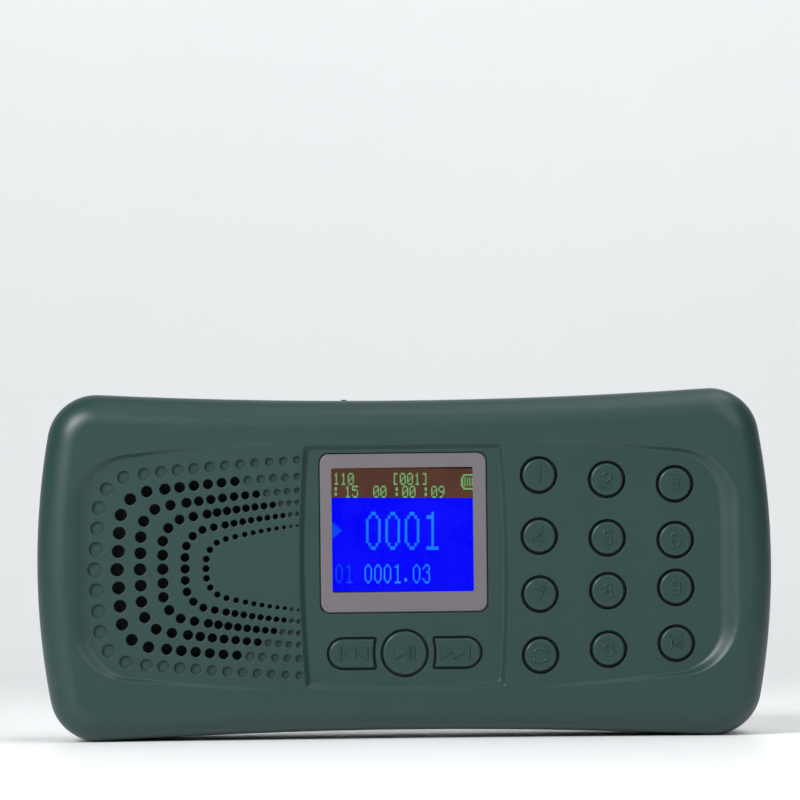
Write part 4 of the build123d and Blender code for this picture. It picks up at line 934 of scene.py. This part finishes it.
# centre lines in millimetres from the key's middle, and whether each is closed
MARKS = {
    "0": ((bend(0, 0, 1.05, 0, 360, 1.5)[:-1], True),),
    "1": ((curl(((-0.6, 1.0),), (0.1, 1.55), (0.1, -1.6)), False),),
    "2": ((curl(bend(0, 0.65, 0.95, 165, -30), (-1.0, -1.55), (1.1, -1.55)), False),),
    "3": ((bend(-0.05, 0.77, 0.82, 150, -90), False), (bend(-0.05, -0.73, 0.9, 90, -150), False)),
    "4": ((curl(((0.45, -1.6),), (0.45, 1.55), (-1.1, -0.65), (1.15, -0.65)), False),),
    "5": ((curl(((0.95, 1.55),), (-0.75, 1.55), (-0.85, 0.25), bend(-0.05, -0.6, 1.02, 110, -145)), False),),
    "6": ((SIX, False),),
    "7": ((curl(((-1.0, 1.55),), (1.0, 1.55), (-0.3, -1.6)), False),),
    "8": ((bend(0, 0.8, 0.78, 0, 360)[:-1], True), (bend(0, -0.75, 0.95, 0, 360, 0.9)[:-1], True)),
    "9": ((-SIX, False),),
    "menu": ((curl(((-1.2, -1.4),), (-1.2, 1.4), (0.0, -0.4), (1.2, 1.4), (1.2, -1.4)), False),),
}


def key_cap(shape, ring_at, front, round_top):
    """A key's cap on its flange. ring_at gives its outline moved inwards by an amount."""
    top = front + KEY_PROUD
    flange_front = PANEL_BACK - 0.15
    profile = [(0.0, flange_front, 1.0, 0.0), (0.0, top - KEY_BEVEL, 1.0, 0.0)]
    for turn in np.linspace(0.2, math.pi / 2, 6):
        profile.append((KEY_BEVEL * (1 - math.cos(turn)), top - KEY_BEVEL * (1 - math.sin(turn)),
                        math.cos(turn), math.sin(turn)))
    rings, normals = [], []
    for inset, depth, lean, forward in profile:
        ring = ring_at(inset)
        rings.append(at_depth(ring, depth - (0.06 if round_top else 0.0)))
        normals.append(facing(outward(ring), lean, forward))
    if round_top:
        centre = ring_at(0.0).mean(axis=0)
        for share in (0.72, 0.45, 0.2, 0.01):
            ring = centre + (ring_at(KEY_BEVEL) - centre) * share
            rings.append(at_depth(ring, top - 0.06 * share**2))
            normals.append(facing(outward(ring), 0.03 * share, 1.0))
    shape.strips(rings, normals)
    shape.cap(rings[-1], (0.0, 1.0, 0.0))


def flange(shape, ring):
    """The plate behind the panel that keeps a key in."""
    front, back = PANEL_BACK - 0.15, PANEL_BACK - 1.15
    side = facing(outward(ring), 1.0, 0.0)
    shape.strips([at_depth(ring, back), at_depth(ring, front)], [side, side])
    shape.cap(at_depth(ring, front), (0.0, 1.0, 0.0))
    shape.cap(at_depth(ring, back)[::-1], (0.0, -1.0, 0.0))


STROKE = 0.62
RAISED = 0.32
MARK_EDGE = 0.2
for name in PAD_KEYS:
    centre = np.array(middle_of(f"key_{name}"))
    cap = Shape()
    key_cap(cap, lambda inset: circle(centre, KEY_CAP - inset, 72), PANEL, True)
    flange(cap, circle(centre, KEY_FLANGE, 72))
    face = PANEL + KEY_PROUD - 0.03
    if name == "loop":
        for turn in (0.0, math.pi):
            sweep = arc((0, 0), 1.75, turn + math.radians(35), turn + math.radians(145), 17)
            ridge(cap, sweep * (1.0, 0.95) + centre, face, STROKE, RAISED, False)
            tip = np.array((math.cos(turn + math.radians(35)), math.sin(turn + math.radians(35)))) * 1.75
            turned = np.array(((math.cos(turn), -math.sin(turn)), (math.sin(turn), math.cos(turn))))
            barb = np.array(((-0.75, 0.12), (0.18, -0.1), (0.12, 0.85))) @ turned.T
            ridge(cap, barb + tip * (1.0, 0.95) + centre, face, STROKE * 0.9, RAISED, False)
    else:
        for line, closed in MARKS[name]:
            ridge(cap, line + centre, face, STROKE, RAISED, closed)
    place(cap.make(f"cap_{name}"), f"key_{name}", "key_plastic", f"key_{name}")

play = np.array(middle_of("key_play"))
BAY_FACE = BAY_FLOOR + KEY_PROUD - 0.02
MARK_HALF = 1.75


def arrow_and_bars(shape, arrows, bars, side):
    """Solid triangles and bars on a transport key, x from the play key's middle."""
    h = MARK_HALF
    marks = [((tail, h), (tail, -h), (tip, 0.0)) for tail, tip in arrows]
    marks += [((low, -h), (high, -h), (high, h), (low, h)) for low, high in bars]
    for mark in marks:
        corners = np.array(mark) * (side, 1)
        plate(shape, (corners if side > 0 else corners[::-1]) + play, BAY_FACE, RAISED)


cap = Shape()
key_cap(cap, lambda inset: circle(play, PLAY_CAP - inset, 96), BAY_FLOOR, True)
flange(cap, circle(play, PLAY_CAP + 0.9, 96))
arrow_and_bars(cap, [(-2.4, 0.7)], [(0.8, 1.4), (1.9, 2.5)], 1)
place(cap.make("cap_play"), "key_play", "key_plastic", "key_play")
for name, side in (("previous", -1), ("next", 1)):
    cap = Shape()
    key_cap(cap, lambda inset: skip_ring(side, SKIP_GAP + inset), BAY_FLOOR, False)
    flange(cap, skip_ring(side, -0.35))
    arrow_and_bars(cap, [(8.8, 11.7), (11.8, 14.85)], [(15.2, 15.9)], side)
    place(cap.make(f"cap_{name}"), f"key_{name}", "key_plastic", f"key_{name}")

# ---- rubber pieces, split where they would bend ----


def bending(shape, name, slot, node, still, moved):
    """A piece with its finish and its CAD node hidden; its still and moved points are put in metres."""
    piece = shape.make(name)
    dress(piece, SLOTS[slot])
    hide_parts(node)
    start, end = ((x * MM, -depth * MM, (z + CENTRE) * MM) for x, depth, z in (still, moved))
    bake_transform(piece)
    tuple(start)
    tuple(end)


def mat_with_domes(node, names):
    """A key mat as a sheet on the board and one soft dome behind each key."""
    sheet, domes = Shape(), {name: Shape() for name in names}
    places = {name: middle_of(f"key_{name}") for name in names}
    back, top = cad_box(node)[0][1], cad_box(node)[1][1]
    foot = back + MAT_THICKNESS
    for points, normals, _ in cad_faces(node):
        x, _, z = points.mean(axis=0)
        nearest = min(names, key=lambda name: math.dist((x, z), places[name]))
        raised = points[:, 1].min() > foot - 0.01 and points[:, 1].max() > foot + 0.01
        target = domes[nearest] if raised else sheet
        target.face(points, normals)
    place(sheet.make(f"{node}_sheet"), "case", "mat_silicone", node)
    for name, shape in domes.items():
        x, z = places[name]
        bending(shape, f"dome_{name}", "mat_silicone", node, (x, foot, z), (x, top, z))


mat_with_domes("pad_mat", PAD_KEYS)
mat_with_domes("transport_mat", ("play", "previous", "next"))

# the surround's roll: its outer half keeps still with the case, its inner half is a piece of its own
ROLL_MIDDLE, ROLL_STILL, ROLL_MOVED = 23.4, 16.7, 16.2
halves = {True: Shape(), False: Shape()}
for points, normals, _ in cad_faces("speaker_surround"):
    x, _, z = points.mean(axis=0)
    halves[math.dist((x, z), SPEAKER) < ROLL_MIDDLE].face(points, normals)
place(halves[False].make("surround_outer"), "case", "surround_rubber", "speaker_surround")
bending(
    halves[True], "surround_inner", "surround_rubber", "speaker_surround",
    (SPEAKER[0], ROLL_STILL, SPEAKER[1]), (SPEAKER[0], ROLL_MOVED, SPEAKER[1]),
)

# ---- display ----

window_low, window_high = cad_box("display_lens")
WINDOW = (window_low[0] + 1.1, window_low[2] + 1.1, window_high[0] - 1.1, window_high[2] - 1.1)
LCD_FACE = cad_box("lcd_panel")[1][1]
DOT = (0.293, 0.418)
LCD_TILT = math.radians(-0.75)    # the module sits slightly crooked behind its window
LCD_MIDDLE = np.array(((WINDOW[0] + WINDOW[2]) / 2, (WINDOW[1] + WINDOW[3]) / 2))


def tilted(points):
    """Points in the window turned with the display module."""
    cos, sin = math.cos(LCD_TILT), math.sin(LCD_TILT)
    return (np.array(points) - LCD_MIDDLE) @ np.array(((cos, sin), (-sin, cos))) + LCD_MIDDLE


def lcd_quads(name, quads, proud, material):
    """Flat rectangles (x0, z0, x1, z1) on the display's face, as one piece."""
    shape = Shape()
    for x0, z0, x1, z1 in quads:
        ring = tilted(((x0, z0), (x1, z0), (x1, z1), (x0, z1)))
        shape.cap(at_depth(ring, LCD_FACE + proud), (0.0, 1.0, 0.0))
    made = shape.make(name)
    dress(made, material)
    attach(made, "case")
    return made


SMALL = {
    "0": ("01110", "10001", "10011", "10101", "11001", "10001", "01110"),
    "1": ("00100", "01100", "00100", "00100", "00100", "00100", "01110"),
    "5": ("11111", "10000", "11110", "00001", "00001", "10001", "01110"),
    "9": ("01110", "10001", "10001", "01111", "00001", "00010", "01100"),
    ":": ("00000", "00110", "00110", "00000", "00110", "00110", "00000"),
    "[": ("01110", "01000", "01000", "01000", "01000", "01000", "01110"),
    "]": ("01110", "00010", "00010", "00010", "00010", "00010", "01110"),
}
TALL = {
    "0": ("001100", "010010", "100001", "100001", "100001", "100001",
          "100001", "100001", "100001", "010010", "001100"),
    "1": ("000100", "011100", "000100", "000100", "000100", "000100",
          "000100", "000100", "000100", "000100", "011111"),
    "3": ("001110", "010001", "100001", "000001", "000110", "000001",
          "000001", "000001", "100001", "010001", "001110"),
    ".": ("000000",) * 8 + ("011000", "011000", "000000"),
}


def dots(text, font, left, top, pitch, size=1):
    """Lit dots of a line of text; left and top in dots from the window's upper left corner."""
    made = []
    for place_in, letter in enumerate(text):
        for row, line in enumerate(font.get(letter, ())):
            for column, lit in enumerate(line):
                if lit == "1":
                    x = WINDOW[0] + (left + place_in * pitch + column * size) * DOT[0]
                    z = WINDOW[3] - (top + row * size) * DOT[1]
                    made.append((x, z - size * DOT[1], x + size * DOT[0], z))
    return made


BAND = 17.4
active = (WINDOW[0] - 0.4, WINDOW[1] + 0.05, WINDOW[2] + 0.4, WINDOW[3] - 0.15)
band_low = WINDOW[3] - BAND * DOT[1]
lcd_quads("lcd_blue_field", [(active[0], active[1], active[2], band_low)], 0.01,
          glowing("lcd_blue", (0.0, 0.0, 0.96), (0.001, 0.002, 1.0), 1.06))
lcd_quads("lcd_band", [(active[0], band_low, active[2], active[3])], 0.01,
          glowing("lcd_brown", (0.085, 0.036, 0.024), (0.105, 0.046, 0.028), 1.0, 140.0))
small = dots("110", SMALL, 1.0, 3.0, 6)
small += dots("[001]", SMALL, 50.0, 3.0, 6)
small += dots(":", SMALL, 0.0, 10.4, 6) + dots("15", SMALL, 10.5, 10.4, 6)
small += dots("00", SMALL, 34.0, 10.4, 6) + dots(":", SMALL, 50.5, 10.4, 6)
small += dots("00", SMALL, 58.0, 10.4, 6) + dots(":", SMALL, 74.5, 10.4, 6)
small += dots("09", SMALL, 82.0, 10.4, 6)
BATTERY = ("0011111111", "0110000000", "1101010101", "1101010101", "1101010101", "1101010101",
           "1101010101", "0110000000", "0011111111")
small += dots("b", {"b": BATTERY}, 106.5, 3.6, 6)
lcd_quads("lcd_small_marks", small, 0.02, glowing("lcd_green", (0.13, 0.38, 0.12), (0.2, 0.45, 0.18), 1.0))
lcd_quads("lcd_number", dots("0001", TALL, 28.2, 25.6, 16, 2), 0.02,
          glowing("lcd_sky", (0.004, 0.17, 0.95), (0.01, 0.24, 1.0), 1.0))
lcd_quads("lcd_lower_line", dots("0001.03", TALL, 27.0, 56.0, 8), 0.02,
          glowing("lcd_bright", (0.01, 0.25, 1.0), (0.02, 0.33, 1.0), 1.0))
faint = dots("01", TALL, 3.0, 56.0, 8)
for row in range(9):
    wide = 1.0 + 7.0 * (1 - abs(row - 4) / 4.5)
    x = WINDOW[0] - 0.2
    z = WINDOW[3] - (32.0 + row) * DOT[1]
    faint.append((x, z - DOT[1], x + wide * DOT[0] + 0.2, z))
lcd_quads("lcd_faint_marks", faint, 0.02, glowing("lcd_dim", (0.002, 0.04, 0.9), (0.004, 0.09, 0.95), 1.0))

# ---- loudspeaker cloth ----

cloth_low, cloth_high = cad_box("speaker_cloth")
cloth_radius = (cloth_high[0] - cloth_low[0]) / 2
cloth_depth = (cloth_low[1] + cloth_high[1]) / 2
cloth = Shape()
rings, normals = [], []
for share in (1.0, 0.85, 0.7, 0.5, 0.3, 0.1):
    ring = circle(SPEAKER, cloth_radius * share, 72)
    rings.append(at_depth(ring, cloth_depth))
    normals.append(facing(outward(ring), 0.0, 1.0))
cloth.strips(rings, normals)
cloth.cap(rings[-1], (0.0, 1.0, 0.0))
cloth_piece = place(cloth.make("dust_cloth"), "case", "cloth_black", "speaker_cloth")
